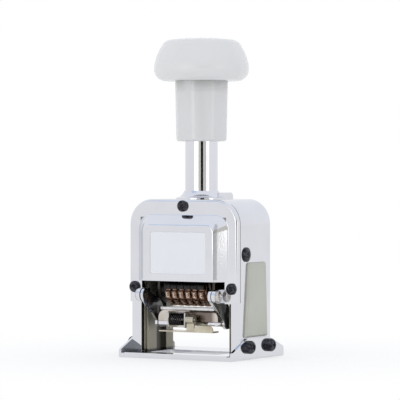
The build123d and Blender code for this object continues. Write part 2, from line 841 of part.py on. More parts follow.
with BuildPart() as detent_comb:
    comb_face = Plane.XZ.offset(-comb_front)
    comb_top = comb_bar_bottom + comb_bar_height
    with BuildSketch(comb_face):
        with Locations((0, (comb_back_bottom + comb_top) / 2)):
            Rectangle(stack_width, comb_top - comb_back_bottom)
        for number in range(1, wheel_count + 1):
            with Locations(
                (wheel_left(number) + rim_width + ratchet_width / 2, (comb_tip + comb_back_bottom) / 2)
            ):
                Rectangle(ratchet_width - 2 * finger_gap, comb_back_bottom - comb_tip)
        with Locations(*[(x, comb_bar_bottom + comb_bar_height / 2) for x in (-comb_screw_x, comb_screw_x)]):
            Circle(COMB_SCREW[2] + slip, mode=Mode.SUBTRACT)
    extrude(amount=-comb_leaf)

comb_screws = screws(
    COMB_SCREW,
    Plane.XZ.offset(-comb_front),
    [(x, comb_bar_bottom + comb_bar_height / 2) for x in (-comb_screw_x, comb_screw_x)],
)

# Pawl carrier

pawl_bar_at = around_shaft(pawl_bar_reach, pawl_bar_angle)

with BuildPart() as pawl_arm_right:
    with BuildSketch(Plane.YZ.offset(pawl_arm_inner)) as arm:
        with Locations((wheel_y, wheel_z)):
            Circle(pawl_arm_radius)
        with Locations(pawl_bar_at):
            Circle(pawl_hub_radius)
        make_hull()
        with Locations((wheel_y, wheel_z)):
            Circle(shaft_radius + run_fit, mode=Mode.SUBTRACT)
        with Locations(pawl_bar_at):
            Circle(pawl_bar_radius + slip, mode=Mode.SUBTRACT)
    extrude(amount=pawl_arm_wall)

with BuildPart() as pawl_bar:
    with BuildSketch(Plane.YZ.offset(-pawl_arm_outer)):
        with Locations(pawl_bar_at):
            Circle(pawl_bar_radius)
    extrude(amount=2 * pawl_arm_outer)

with BuildPart() as drive_pawl:
    inner = ratchet_radius + pawl_gap
    outer = inner + pawl_finger
    middle = (pawl_tip_angle + pawl_heel_angle) / 2
    shield = wheel_radius + type_height + pawl_gap
    shield_middle = (shield_tip_angle + pawl_bar_angle) / 2
    with BuildSketch(Plane.YZ.offset(-stack_width / 2)):
        with Locations(pawl_bar_at):
            Circle(pawl_hub_radius)
            Circle(pawl_bar_radius + slip, mode=Mode.SUBTRACT)
    extrude(amount=stack_width)
    for number in range(1, wheel_count + 1):
        with BuildSketch(Plane.YZ.offset(wheel_left(number))):
            with BuildLine():
                inside = ThreePointArc(*[
                    around_shaft(shield, angle) for angle in (shield_tip_angle, shield_middle, pawl_bar_angle)
                ])
                outside = ThreePointArc(*[
                    around_shaft(shield + shield_wall, angle)
                    for angle in (shield_tip_angle, shield_middle, pawl_bar_angle)
                ])
                Line(inside @ 0, outside @ 0)
                Line(inside @ 1, outside @ 1)
            make_face()
        extrude(amount=wheel_pitch - wheel_gap - rub_gap)
        with BuildSketch(Plane.YZ.offset(wheel_left(number) + rim_width + finger_gap)):
            with BuildLine():
                ThreePointArc(
                    around_shaft(inner, pawl_tip_angle),
                    around_shaft(inner, middle),
                    around_shaft(inner, pawl_heel_angle),
                )
                Polyline(
                    around_shaft(inner, pawl_heel_angle),
                    around_shaft(pawl_bar_reach - pawl_hub_radius, pawl_bar_angle),
                    around_shaft(pawl_bar_reach, pawl_bar_angle - pawl_neck_turn),
                    around_shaft(outer, pawl_heel_angle),
                )
                ThreePointArc(
                    around_shaft(outer, pawl_heel_angle),
                    around_shaft(outer, middle),
                    around_shaft(outer, pawl_tip_angle + pawl_tip_bevel),
                )
                Line(around_shaft(outer, pawl_tip_angle + pawl_tip_bevel), around_shaft(inner, pawl_tip_angle))
            make_face()
            with Locations(pawl_bar_at):
                Circle(pawl_bar_radius + slip, mode=Mode.SUBTRACT)
        extrude(amount=ratchet_width - 2 * finger_gap)

# Ink carrier

with BuildPart() as ink_strap:
    with BuildSketch(Plane.YZ.offset(strap_inner)) as arm_side:
        with BuildLine():
            Polyline(
                (pivot_y + arm_front_root[0], pivot_z + arm_front_root[1]),
                arm_front_knee,
                (strap_bar_front, tray_bottom),
                (strap_bar_front, strap_bar_bottom),
                (strap_bar_back, strap_bottom),
                (strap_back, strap_bottom),
                (strap_back, arm_back_foot),
                arm_back_knee,
                (pivot_y + arm_back_root[0], pivot_z + arm_back_root[1]),
                (pivot_y, pivot_z),
                close=True,
            )
        make_face()
        with Locations((pivot_y, pivot_z)):
            Circle(eye_radius)
            Circle(PIVOT_SCREW[2] + run_fit, mode=Mode.SUBTRACT)
    extrude(amount=strap_wall)
    mirror(about=Plane.YZ)
    with BuildSketch(Plane.YZ):
        with Locations(
            ((strap_bar_front + strap_bar_back) / 2, (tray_bottom + strap_bar_bottom) / 2)
        ):
            Rectangle(strap_bar_back - strap_bar_front, strap_bar_height)
    extrude(amount=strap_inner, both=True)

with BuildPart() as pad_tray:
    with BuildSketch(Plane.XZ.offset(-tray_front)) as tray_side:
        with Locations((0, (tray_top + tray_bottom) / 2)):
            Rectangle(tray_width, tray_height)
        fillet(tray_side.vertices().group_by(Axis.Y)[-1], radius=tray_corner)
    extrude(amount=-(tray_back - tray_front))
    with BuildSketch(Plane.XY.offset(tray_top)):
        with Locations((0, (tray_front + tray_back) / 2)):
            Rectangle(tray_width - 2 * tray_corner, tray_back - tray_front - 2 * tray_wall)
    extrude(amount=-(tray_height - tray_wall), mode=Mode.SUBTRACT)

with BuildPart() as ink_pad:
    with BuildSketch(Plane.XY.offset(tray_top)):
        with Locations((0, (pad_front + pad_back) / 2)):
            Rectangle(pad_width, pad_back - pad_front)
    extrude(amount=pad_sheet)
    with BuildSketch(Plane.XY.offset(pad_top)):
        with Locations((0, pad_front + pad_lip_depth / 2)):
            Rectangle(pad_width, pad_lip_depth)
    extrude(amount=pad_lip_height)
    with BuildSketch(Plane.XY.offset(tray_bottom + tray_wall)):
        with Locations((0, (tray_front + tray_back) / 2)):
            Rectangle(
                tray_width - 2 * tray_corner - 2 * slip,
                tray_back - tray_front - 2 * tray_wall - 2 * slip,
            )
    extrude(amount=tray_height - tray_wall)

with BuildPart() as latch_bracket:
    with BuildSketch(Plane.XY.offset(latch_bottom)):
        with Locations(((latch_left + latch_right) / 2, tray_front - latch_reach / 2)):
            Rectangle(latch_right - latch_left, latch_reach)
        with Locations(((latch_left + latch_right) / 2, tray_front - latch_wall - latch_reach / 2)):
            Rectangle(latch_right - latch_left - 2 * latch_wall, latch_reach, mode=Mode.SUBTRACT)
    extrude(amount=latch_top - latch_bottom)
    fillet(latch_bracket.edges().filter_by(Axis.X).group_by(Axis.Y)[0], radius=latch_corner)
    with Locations(Plane.YZ.offset(latch_right)):
        with Locations((latch_pin_y, latch_pin_z)):
            Hole(latch_pin_radius + slip, depth=latch_right - latch_left)

with BuildPart() as latch_pin:
    with BuildSketch(Plane.YZ.offset(latch_left - side_gap)):
        with Locations((latch_pin_y, latch_pin_z)):
            Circle(latch_pin_radius)
    extrude(amount=latch_right + rub_gap + tab_hub_width + side_gap - latch_left + side_gap)

with BuildPart() as latch_spring:
    spring_room = latch_right - latch_left - 2 * latch_wall - 2 * side_gap
    with BuildLine() as latch_coil:
        Helix(
            spring_room / latch_spring_turns,
            spring_room,
            latch_spring_radius,
            center=(latch_left + latch_wall + side_gap, latch_pin_y, latch_pin_z),
            direction=(1, 0, 0),
        )
    with BuildSketch(Plane(latch_coil.line @ 0, z_dir=latch_coil.line % 0)):
        RegularPolygon(latch_spring_wire, wire_sides)
    sweep(path=latch_coil.line, is_frenet=True)

with BuildPart() as finger_tab:
    hub_left = latch_right + rub_gap
    with BuildSketch(Plane.XY.offset(tab_top - tab_wall)) as leaf:
        with Locations(((tab_left + tab_right) / 2, (tab_front + tab_back) / 2)):
            Rectangle(tab_right - tab_left, tab_back - tab_front)
        fillet(leaf.vertices().group_by(Axis.Y)[-1], radius=tab_corner)
    extrude(amount=tab_wall)
    with BuildSketch(Plane.XZ.offset(-tab_front)) as cup:
        with Locations(((tab_cup_left + tab_right) / 2, tab_top - tab_wall + tab_cup_height / 2)):
            Rectangle(tab_right - tab_cup_left, tab_cup_height)
        fillet(cup.vertices().group_by(Axis.Y)[-1], radius=tab_corner)
    extrude(amount=-tab_wall)
    with BuildSketch(Plane.YZ.offset(hub_left)):
        with Locations((latch_pin_y, latch_pin_z)):
            Circle(tab_hub_radius)
        with Locations((latch_pin_y, (latch_pin_z + tab_top) / 2)):
            Rectangle(tab_web, latch_pin_z - tab_top)
        with Locations((latch_pin_y, latch_pin_z)):
            Circle(latch_pin_radius + run_fit, mode=Mode.SUBTRACT)
    extrude(amount=tab_hub_width)

# Files

save(base_plate.part, "base_plate")
save(base_screws.part, "base_screws")
save(frame.part, "frame")
save(front_cover.part, "front_cover")
save(cover_screws, "cover_screws")
save(side_screws.part, "side_screws")
save(label_plate.part, "label_plate")
save(guide_insert_right.part, "guide_insert_right")
save(mirrored(guide_insert_right.part), "guide_insert_left")
save(column_collar.part, "column_collar")
save(column_tube.part, "column_tube")
save(rod_bush.part, "rod_bush")
save(stop_ring.part, "stop_ring")
save(ink_pivot_screws.part, "ink_pivot_screws")

save(knob_cap.part, "knob_cap")
save(grip_sleeve.part, "grip_sleeve")
save(plunger_rod.part, "plunger_rod")
save(rod_nut.part, "rod_nut")
save(spring_washer.part, "spring_washer")
save(main_spring.part, "main_spring")

save(crosshead.part, "crosshead")
save(side_plate_right.part, "side_plate_right")
save(mirrored(side_plate_right.part), "side_plate_left")
save(guide_shoe_right.part, "guide_shoe_right")
save(mirrored(guide_shoe_right.part), "guide_shoe_left")
save(plate_screws.part, "plate_screws")
save(shoe_screws.part, "shoe_screws")
save(tie_rod.part, "tie_rod")
save(wheel_shaft.part, "wheel_shaft")
save(shaft_clips, "shaft_clips")
save(shaft_spacers, "shaft_spacers")
save(comb_bar.part, "comb_bar")
save(detent_comb.part, "detent_comb")
save(comb_screws, "comb_screws")
for number in range(1, wheel_count + 1):
    save(digit_wheel(number), f"digit_wheel_{number}")

save(pawl_arm_right.part, "pawl_arm_right")
save(mirrored(pawl_arm_right.part), "pawl_arm_left")
save(pawl_bar.part, "pawl_bar")
save(drive_pawl.part, "drive_pawl")

save(ink_strap.part, "ink_strap")
save(pad_tray.part, "pad_tray")
save(ink_pad.part, "ink_pad")
save(latch_bracket.part, "latch_bracket")
save(latch_pin.part, "latch_pin")
save(latch_spring.part, "latch_spring")
save(finger_tab.part, "finger_tab")
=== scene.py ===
import json
import math

import bmesh
import bpy
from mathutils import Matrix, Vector, noise


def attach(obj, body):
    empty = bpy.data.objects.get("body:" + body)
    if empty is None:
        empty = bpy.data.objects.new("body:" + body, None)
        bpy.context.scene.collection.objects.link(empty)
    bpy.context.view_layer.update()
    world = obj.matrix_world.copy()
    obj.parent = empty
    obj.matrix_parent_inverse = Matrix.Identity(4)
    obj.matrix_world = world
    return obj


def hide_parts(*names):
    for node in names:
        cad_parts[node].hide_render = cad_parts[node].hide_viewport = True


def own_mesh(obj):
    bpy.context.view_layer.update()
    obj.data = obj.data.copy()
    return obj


# Hand numbering machine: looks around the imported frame. X right, Y back, Z up, in metres.
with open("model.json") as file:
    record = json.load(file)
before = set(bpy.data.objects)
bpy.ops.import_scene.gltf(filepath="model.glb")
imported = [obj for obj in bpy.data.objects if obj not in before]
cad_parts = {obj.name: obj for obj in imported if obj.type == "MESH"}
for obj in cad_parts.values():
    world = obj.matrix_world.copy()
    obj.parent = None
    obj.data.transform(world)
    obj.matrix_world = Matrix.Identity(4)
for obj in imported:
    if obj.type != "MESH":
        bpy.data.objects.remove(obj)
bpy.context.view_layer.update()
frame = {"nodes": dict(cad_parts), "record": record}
cad = frame["nodes"]
scene = bpy.context.scene
mm = 0.001


# Small helpers for node trees

def put(tree, kind, inputs=None, **settings):
    node = tree.nodes.new(kind)
    for key, value in settings.items():
        setattr(node, key, value)
    for socket, value in (inputs or {}).items():
        if isinstance(value, bpy.types.NodeSocket):
            tree.links.new(value, node.inputs[socket])
        else:
            node.inputs[socket].default_value = value
    return node


def maths(tree, operation, a, b=0.0, c=0.0):
    return put(tree, "ShaderNodeMath", {0: a, 1: b, 2: c}, operation=operation).outputs[0]


def times(tree, a, b):
    return maths(tree, "MULTIPLY", a, b)


def plus(tree, a, b):
    return maths(tree, "ADD", a, b)


def minus(tree, a, b):
    return maths(tree, "SUBTRACT", a, b)


def spread(tree, value, low, high, toLow, toHigh):
    ranges = {"From Min": low, "From Max": high, "To Min": toLow, "To Max": toHigh}
    return put(tree, "ShaderNodeMapRange", {"Value": value, **ranges}).outputs["Result"]


def vector(tree, **parts):
    return put(tree, "ShaderNodeCombineXYZ", parts).outputs[0]


def axes(tree, source):
    return put(tree, "ShaderNodeSeparateXYZ", {0: source}).outputs


def polar(tree, radius, angle):
    return times(tree, radius, maths(tree, "COSINE", angle)), times(tree, radius, maths(tree, "SINE", angle))


def countOff(tree, size):
    # Which run of so many points a point is in, and its place in that run
    index = put(tree, "GeometryNodeInputIndex").outputs[0]
    run = maths(tree, "FLOOR", maths(tree, "DIVIDE", plus(tree, index, 0.5), size))
    return run, minus(tree, index, times(tree, run, size))


def vectorMaths(tree, operation, inputs):
    return put(tree, "ShaderNodeVectorMath", inputs, operation=operation).outputs[0]


def reshaped(tree, geometry, **how):
    return put(tree, "GeometryNodeSetPosition", {"Geometry": geometry, **how}).outputs[0]


def placed(tree, geometry, **how):
    return put(tree, "GeometryNodeTransform", {"Geometry": geometry, **how}).outputs[0]


def joined(tree, *parts):
    both = put(tree, "GeometryNodeJoinGeometry")
    for part in parts:
        tree.links.new(part, both.inputs[0])
    return both.outputs[0]


def newTree(name, **kinds):
    # A tree with the named inputs of each kind
    tree = bpy.data.node_groups.new(name, "GeometryNodeTree")
    tree.interface.new_socket("Geometry", in_out="INPUT", socket_type="NodeSocketGeometry")
    for kind, labels in kinds.items():
        for label in labels.split(", "):
            tree.interface.new_socket(label, in_out="INPUT", socket_type="NodeSocket" + kind)
    tree.interface.new_socket("Geometry", in_out="OUTPUT", socket_type="NodeSocketGeometry")
    return tree, put(tree, "NodeGroupInput").outputs


def endTree(tree, geometry, material):
    real = put(tree, "GeometryNodeRealizeInstances", {"Geometry": geometry})
    dressed = put(tree, "GeometryNodeSetMaterial", {"Geometry": real.outputs[0], "Material": material})
    put(tree, "NodeGroupOutput", {"Geometry": dressed.outputs[0]})


def smoothShade(tree, geometry, sharpAngle=35):
    # Smooth faces, with edges sharper than the angle kept crisp
    smooth = put(tree, "GeometryNodeSetShadeSmooth", {0: geometry, "Shade Smooth": True}, domain="FACE")
    angle = put(tree, "GeometryNodeInputMeshEdgeAngle").outputs["Unsigned Angle"]
    sharp = maths(tree, "GREATER_THAN", angle, math.radians(sharpAngle))
    return put(
        tree, "GeometryNodeSetShadeSmooth",
        {0: smooth.outputs[0], "Selection": sharp, "Shade Smooth": False}, domain="EDGE",
    ).outputs[0]


# Small helpers for pieces

def addObject(name, data):
    thing = bpy.data.objects.new(name, data)
    scene.collection.objects.link(thing)
    return thing


def applyModifiers(piece):
    graph = bpy.context.evaluated_depsgraph_get()
    mesh = bpy.data.meshes.new_from_object(piece.evaluated_get(graph), depsgraph=graph)
    piece.modifiers.clear()
    piece.data = mesh
    return mesh


def grow(name, tree, settings, points=(), recalc=False):
    # Runs a tree on a row of points and keeps what it makes as a plain mesh
    start = bpy.data.meshes.new(name + "Start")
    start.from_pydata([Vector(p) * mm for p in points], [], [])
    piece = addObject(name, start)
    modifier = piece.modifiers.new(tree.name, "NODES")
    modifier.node_group = tree
    for item in tree.interface.items_tree:
        if item.in_out == "INPUT" and item.name in settings:
            modifier[item.identifier] = settings[item.name]
    mesh = applyModifiers(piece)
    mesh.name = name
    if recalc:
        turnOutwards(mesh)
    return piece


def turnOutwards(mesh):
    work = bmesh.new()
    work.from_mesh(mesh)
    bmesh.ops.remove_doubles(work, verts=work.verts, dist=1e-7)
    bmesh.ops.recalc_face_normals(work, faces=work.faces)
    work.to_mesh(mesh)
    work.free()


def settle(piece, body, slot, *replaced):
    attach(piece, body)
    if replaced:
        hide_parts(*replaced)
    return piece


# Materials: every pattern reads Object coordinates, and lengths are in metres

def newMaterial(name, base, roughness, metallic=0.0):
    material = bpy.data.materials.new(name)
    material.use_nodes = True
    tree = material.node_tree
    shader = tree.nodes["Principled BSDF"]
    shader.inputs["Base Color"].default_value = (*base, 1)
    shader.inputs["Roughness"].default_value = roughness
    shader.inputs["Metallic"].default_value = metallic
    place = put(tree, "ShaderNodeTexCoord").outputs["Object"]
    return material, tree, shader, place


def grain(tree, place, scale, detail=3.0, stretch=None):
    if stretch is not None:
        place = put(tree, "ShaderNodeMapping", {"Vector": place, "Scale": stretch}).outputs[0]
    return put(tree, "ShaderNodeTexNoise", {"Vector": place, "Scale": scale, "Detail": detail}).outputs["Fac"]


def bump(tree, height, depth, strength=1.0, under=None):
    inputs = {"Height": height, "Distance": depth, "Strength": strength}
    if under is not None:
        inputs["Normal"] = under
    return put(tree, "ShaderNodeBump", inputs).outputs[0]


def blendColour(tree, factor, first, second):
    node = put(tree, "ShaderNodeMix", {"Factor": factor}, data_type="RGBA")
    for socket, colour in ((node.inputs[6], first), (node.inputs[7], second)):
        if isinstance(colour, bpy.types.NodeSocket):
            tree.links.new(colour, socket)
        else:
            socket.default_value = (*colour, 1)
    return node.outputs[2]


def feed(tree, shader, name, output):
    tree.links.new(output, shader.inputs[name])


def mottle(tree, shader, cloud, finish, other, toneBand, glossBand):
    # A cloud leads from the base colour to another and over the range of gloss
    tone = blendColour(tree, spread(tree, cloud, *toneBand, 0, 1), finish["base"], other)
    feed(tree, shader, "Base Color", tone)
    feed(tree, shader, "Roughness", spread(tree, cloud, *glossBand, *finish["gloss"]))


def metalFinish(name, finish):
    # Metal with smudges in its gloss, a slow ripple and fine lines or pits, each with a scale and a depth
    (rippleScale, rippleDepth), (lineScale, lineDepth) = finish["ripple"], finish["lines"]
    material, tree, shader, place = newMaterial(name, finish["base"], finish["gloss"][0], 1.0)
    smudge = grain(tree, place, finish["smudge"], 5.0)
    mottle(tree, shader, smudge, finish, finish["worn"], toneBand=(0.3, 0.75), glossBand=(0.35, 0.7))
    ripple = bump(tree, grain(tree, place, rippleScale, 1.0), rippleDepth)
    lines = grain(tree, place, lineScale, 4.0, finish.get("stretch"))
    feed(tree, shader, "Normal", bump(tree, lines, lineDepth, 1.0, ripple))
    return material


def opened(material):
    tree = material.node_tree
    place = next(node for node in tree.nodes if node.type == "TEX_COORD").outputs["Object"]
    return tree, tree.nodes["Principled BSDF"], place


def fedBy(shader, name):
    return shader.inputs[name].links[0].from_socket


def boxMask(tree, place, box):
    # One inside a box given in millimetres, falling to nothing at its sides.
    # X counts from the middle both ways, or one way where the box names a side.
    side, soft = box.get("side"), box["soft"]
    reach = times(tree, place["X"], side) if side else maths(tree, "ABSOLUTE", place["X"])
    mask = None
    for along, low, high in zip((reach, place["Y"], place["Z"]), box["low"], box["high"]):
        rise = spread(tree, along, low * mm, (low + soft) * mm, 0, 1)
        fall = spread(tree, along, (high - soft) * mm, high * mm, 1, 0)
        part = maths(tree, "MINIMUM", rise, fall)
        mask = part if mask is None else times(tree, mask, part)
    return mask


def pebble(material, patch):
    # A coarser skin inside a box
    tree, shader, place = opened(material)
    strength = boxMask(tree, axes(tree, place), patch)
    height = grain(tree, place, patch["grainScale"], 1.0)
    feed(tree, shader, "Normal", bump(tree, height, patch["depth"], strength, fedBy(shader, "Normal")))


def soil(material, stains):
    # Darkens a surface inside boxes: real ink and dirt in some, painted shade and painted reflections in
    # others. A drift, in millimetres, lets the sides wander.
    tree, shader, place = opened(material)
    for mark in stains:
        spot = place
        if "drift" in mark:
            drift = mark["drift"] * mm
            cloud = put(tree, "ShaderNodeTexNoise", {
                "Vector": place, "Scale": mark["driftScale"], "Detail": 3.0,
            })
            centred = vectorMaths(tree, "SUBTRACT", {0: cloud.outputs["Color"], 1: (0.5, 0.5, 0.5)})
            spot = vectorMaths(tree, "MULTIPLY_ADD", {0: centred, 1: (0, drift, drift), 2: place})
        amount = times(tree, boxMask(tree, axes(tree, spot), mark), mark["amount"])
        tone = blendColour(tree, amount, fedBy(shader, "Base Color"), mark["colour"])
        feed(tree, shader, "Base Color", tone)
        gloss = put(tree, "ShaderNodeMix", {
            0: amount, 2: fedBy(shader, "Roughness"), 3: mark["rough"],
        }, data_type="FLOAT")
        feed(tree, shader, "Roughness", gloss.outputs[0])


chrome = {
    "base": (0.78, 0.785, 0.815), "worn": (0.735, 0.74, 0.775), "gloss": (0.035, 0.085), "smudge": 55,
    "ripple": (42, 0.00005), "lines": (1100, 0.000007),
}
chromePlate = metalFinish("Chrome plate", chrome)
chromeHousing = metalFinish("Chrome plate of the housing", chrome)
chromeBase = metalFinish("Chrome plate of the base", chrome)
chromeStrap = metalFinish("Chrome strip, cold bent", {
    **chrome, "ripple": (115, 0.0010), "lines": (1100, 0.00001),
})
brightSteel = metalFinish("Bright steel", {
    "base": (0.66, 0.64, 0.60), "worn": (0.50, 0.47, 0.43), "gloss": (0.18, 0.34), "smudge": 160,
    "ripple": (60, 0.00003), "lines": (700, 0.000012), "stretch": (0.12, 1, 1),
})
springSteel = metalFinish("Blued spring steel", {
    "base": (0.022, 0.021, 0.024), "worn": (0.06, 0.055, 0.05), "gloss": (0.22, 0.42), "smudge": 240,
    "ripple": (90, 0.00002), "lines": (1200, 0.00001),
})
darkSteel = metalFinish("Oiled dark steel", {
    "base": (0.050, 0.046, 0.044), "worn": (0.11, 0.10, 0.09), "gloss": (0.25, 0.5), "smudge": 130,
    "ripple": (80, 0.00003), "lines": (800, 0.000015), "stretch": (1, 1, 0.15),
})
typeBronze = metalFinish("Dark type bronze", {
    "base": (0.045, 0.028, 0.020), "worn": (0.50, 0.33, 0.245), "gloss": (0.18, 0.42), "smudge": 640,
    "ripple": (150, 0.00003), "lines": (1500, 0.000018), "stretch": (0.3, 1, 1),
})
figureBronze = metalFinish("Worn type faces", {
    "base": (0.74, 0.57, 0.46), "worn": (0.96, 0.84, 0.73), "gloss": (0.2, 0.42), "smudge": 500,
    "ripple": (200, 0.00002), "lines": (1800, 0.00001),
})
bushBronze = metalFinish("Sintered bush bronze", {
    "base": (0.55, 0.38, 0.20), "worn": (0.40, 0.27, 0.15), "gloss": (0.35, 0.6), "smudge": 400,
    "ripple": (120, 0.00002), "lines": (2400, 0.00003),
})
traySheet = metalFinish("Brown tray sheet", {
    "base": (0.72, 0.665, 0.61), "worn": (0.42, 0.36, 0.32), "gloss": (0.14, 0.28), "smudge": 75,
    "ripple": (110, 0.0002), "lines": (420, 0.00003), "stretch": (0.07, 1, 1),
})
tabSheet = metalFinish("Yellowed tab sheet", {
    "base": (0.66, 0.625, 0.50), "worn": (0.46, 0.40, 0.30), "gloss": (0.12, 0.26), "smudge": 130,
    "ripple": (120, 0.00012), "lines": (600, 0.00002), "stretch": (0.1, 1, 1),
})
rubbedEdge = metalFinish("Rubbed screw edge", {
    "base": (0.20, 0.20, 0.22), "worn": (0.38, 0.38, 0.41), "gloss": (0.2, 0.35), "smudge": 700,
    "ripple": (200, 0.00001), "lines": (2000, 0.000005),
})


def blackOxide(finish):
    # Black oxide on steel, with a faint blue-grey bloom and fine pits
    material, tree, shader, place = newMaterial("Black oxide", finish["base"], finish["gloss"][0], 0.3)
    bloom = grain(tree, place, finish["bloomScale"], 6.0)
    mottle(tree, shader, bloom, finish, finish["bloom"], toneBand=(0.4, 0.72), glossBand=(0.3, 0.7))
    pits = grain(tree, place, finish["pitScale"], 2.0)
    feed(tree, shader, "Normal", bump(tree, pits, finish["pitDepth"]))
    shader.inputs["Specular IOR Level"].default_value = finish["shine"]
    return material


blackScrew = blackOxide({
    "base": (0.006, 0.006, 0.008), "bloom": (0.085, 0.085, 0.105), "gloss": (0.2, 0.36), "shine": 0.25,
    "bloomScale": 620, "pitScale": 2200, "pitDepth": 0.00001,
})


def mouldedPlastic(name, finish):
    # Injection-moulded plastic with a fine orange peel, a finer speckle and slow tone changes
    (peelScale, peelDepth), (speckleScale, speckleDepth) = finish["peel"], finish["speckle"]
    material, tree, shader, place = newMaterial(name, finish["base"], finish["gloss"][0])
    flow = grain(tree, place, finish["flowScale"], 2.0)
    mottle(tree, shader, flow, finish, finish["flow"], toneBand=(0.35, 0.65), glossBand=(0.3, 0.7))
    peel = bump(tree, grain(tree, place, peelScale, 2.0), peelDepth)
    speckle = grain(tree, place, speckleScale, 2.0)
    feed(tree, shader, "Normal", bump(tree, speckle, speckleDepth, 1.0, peel))
    shader.inputs["Subsurface Weight"].default_value = finish["depthGlow"]
    shader.inputs["Subsurface Radius"].default_value = (1.0, 0.95, 0.9)
    shader.inputs["Subsurface Scale"].default_value = 0.0015
    shader.inputs["Coat Weight"].default_value = finish["coat"]
    shader.inputs["Coat Roughness"].default_value = 0.12
    return material


knobGrey = {
    "base": (0.725, 0.722, 0.708), "flow": (0.712, 0.710, 0.697), "gloss": (0.20, 0.26), "coat": 0.5,
    "flowScale": 30, "peel": (220, 0.000003), "speckle": (3000, 0.000002), "depthGlow": 0.12,
}
knobPlastic = mouldedPlastic("Light grey knob plastic", knobGrey)
# The grip is the knob's plastic with a darker base, as painted shade
gripPlastic = mouldedPlastic("Light grey grip plastic", {
    **knobGrey, "base": (0.685, 0.683, 0.672), "flow": (0.672, 0.670, 0.66),
})
guidePlastic = mouldedPlastic("Beige grey guide plastic", {
    "base": (0.50, 0.505, 0.44), "flow": (0.47, 0.475, 0.41), "gloss": (0.38, 0.5), "coat": 0.05,
    "flowScale": 45, "peel": (500, 0.000015), "speckle": (2600, 0.000008), "depthGlow": 0.05,
})
labelWhite = mouldedPlastic("Bare satin label", {
    "base": (0.785, 0.795, 0.81), "flow": (0.765, 0.775, 0.795), "gloss": (0.30, 0.38), "coat": 0.1,
    "flowScale": 60, "peel": (700, 0.000006), "speckle": (3500, 0.000003), "depthGlow": 0.0,
})
bufferRubber = mouldedPlastic("Black buffer rubber", {
    "base": (0.025, 0.025, 0.026), "flow": (0.04, 0.04, 0.04), "gloss": (0.6, 0.8), "coat": 0.0,
    "flowScale": 120, "peel": (900, 0.00003), "speckle": (2500, 0.00002), "depthGlow": 0.0,
})


def feltCloth(finish):
    # Pressed felt: two layers of crossed fibres with a soft sheen
    toneBand = (0.45, 0.75)
    material, tree, shader, place = newMaterial("White pad felt", finish["base"], 0.9)
    layers = [grain(tree, place, finish["fibreScale"], 5.0, stretch) for stretch in finish["stretches"]]
    fibres = maths(tree, "MAXIMUM", *layers)
    tone = blendColour(tree, spread(tree, fibres, *toneBand, 0, 1), finish["hollow"], finish["base"])
    feed(tree, shader, "Base Color", tone)
    feed(tree, shader, "Normal", bump(tree, fibres, finish["nap"]))
    shader.inputs["Sheen Weight"].default_value = finish["sheen"]
    shader.inputs["Sheen Roughness"].default_value = 0.4
    return material


padFelt = feltCloth({
    "base": (0.97, 0.955, 0.94), "hollow": (0.90, 0.885, 0.865), "sheen": 0.8,
    "fibreScale": 1300, "stretches": ((0.18, 1, 1), (1, 0.2, 1)), "nap": 0.00012,
})

# Stains, painted shade and painted reflections lie in boxes of millimetres
soil(guidePlastic, [
    # Painted shade: brown on the rails inside the legs, near black in the groove where the shoe runs, a
    # painted shadow at the foot, near black higher up
    {"low": (-1, -30, -5), "high": (30.2, 30, 90), "soft": 0.05, "amount": 0.5,
     "colour": (0.28, 0.225, 0.12), "rough": 0.5},
    {"low": (27.25, -5.9, -5), "high": (30.5, 5.9, 90), "soft": 0.3, "amount": 0.9,
     "drift": 0.5, "driftScale": 300, "colour": (0.030, 0.024, 0.013), "rough": 0.35},
    {"low": (-1, -30, 2.0), "high": (30.2, 30, 4.3), "soft": 0.3, "amount": 0.85,
     "drift": 0.4, "driftScale": 300, "colour": (0.012, 0.011, 0.009), "rough": 0.35},
    {"low": (-1, -30, 17.0), "high": (30.2, 30, 90), "soft": 5.0, "amount": 0.94,
     "drift": 5, "driftScale": 220, "colour": (0.016, 0.014, 0.011), "rough": 0.3},
])
# Near-black painted shade for the chrome inside the housing
paintedShadeInside = {"amount": 0.94, "colour": (0.022, 0.020, 0.018), "rough": 0.35}
soil(chromeHousing, [
    # Painted shade on the chrome inside the housing: brown at the rear of the legs, then near black on the
    # insides from the foot up to the crown, the cover's and the hood's; and a dark joint line along the seam
    {"low": (-1, 12.4, 3.0), "high": (33.9, 17.7, 26.0), "soft": 1.0, "amount": 0.8,
     "drift": 1, "driftScale": 200, "colour": (0.17, 0.155, 0.13), "rough": 0.3},
    {"low": (-1, -17.7, 3.0), "high": (33.9, 13.0, 26.0), "soft": 0.6, **paintedShadeInside},
    {"low": (-1, -17.7, 25.2), "high": (33.9, 17.7, 76.5), "soft": 0.3, **paintedShadeInside},
    {"low": (-1, -17.7, 76.0), "high": (29.5, 17.7, 86.0), "soft": 0.2, **paintedShadeInside},
    {"low": (-1, -21.2, 44.9), "high": (28.7, -17.7, 81.4), "soft": 0.2, **paintedShadeInside},
    {"low": (-1, -26.0, 44.9), "high": (22.6, -21.0, 75.8), "soft": 0.2, **paintedShadeInside},
    {"low": (30, -18.2, 32.6), "high": (38, -17.5, 93), "soft": 0.22, "amount": 0.92,
     "drift": 0.16, "driftScale": 1500, "colour": (0.03, 0.03, 0.035), "rough": 0.5},
])
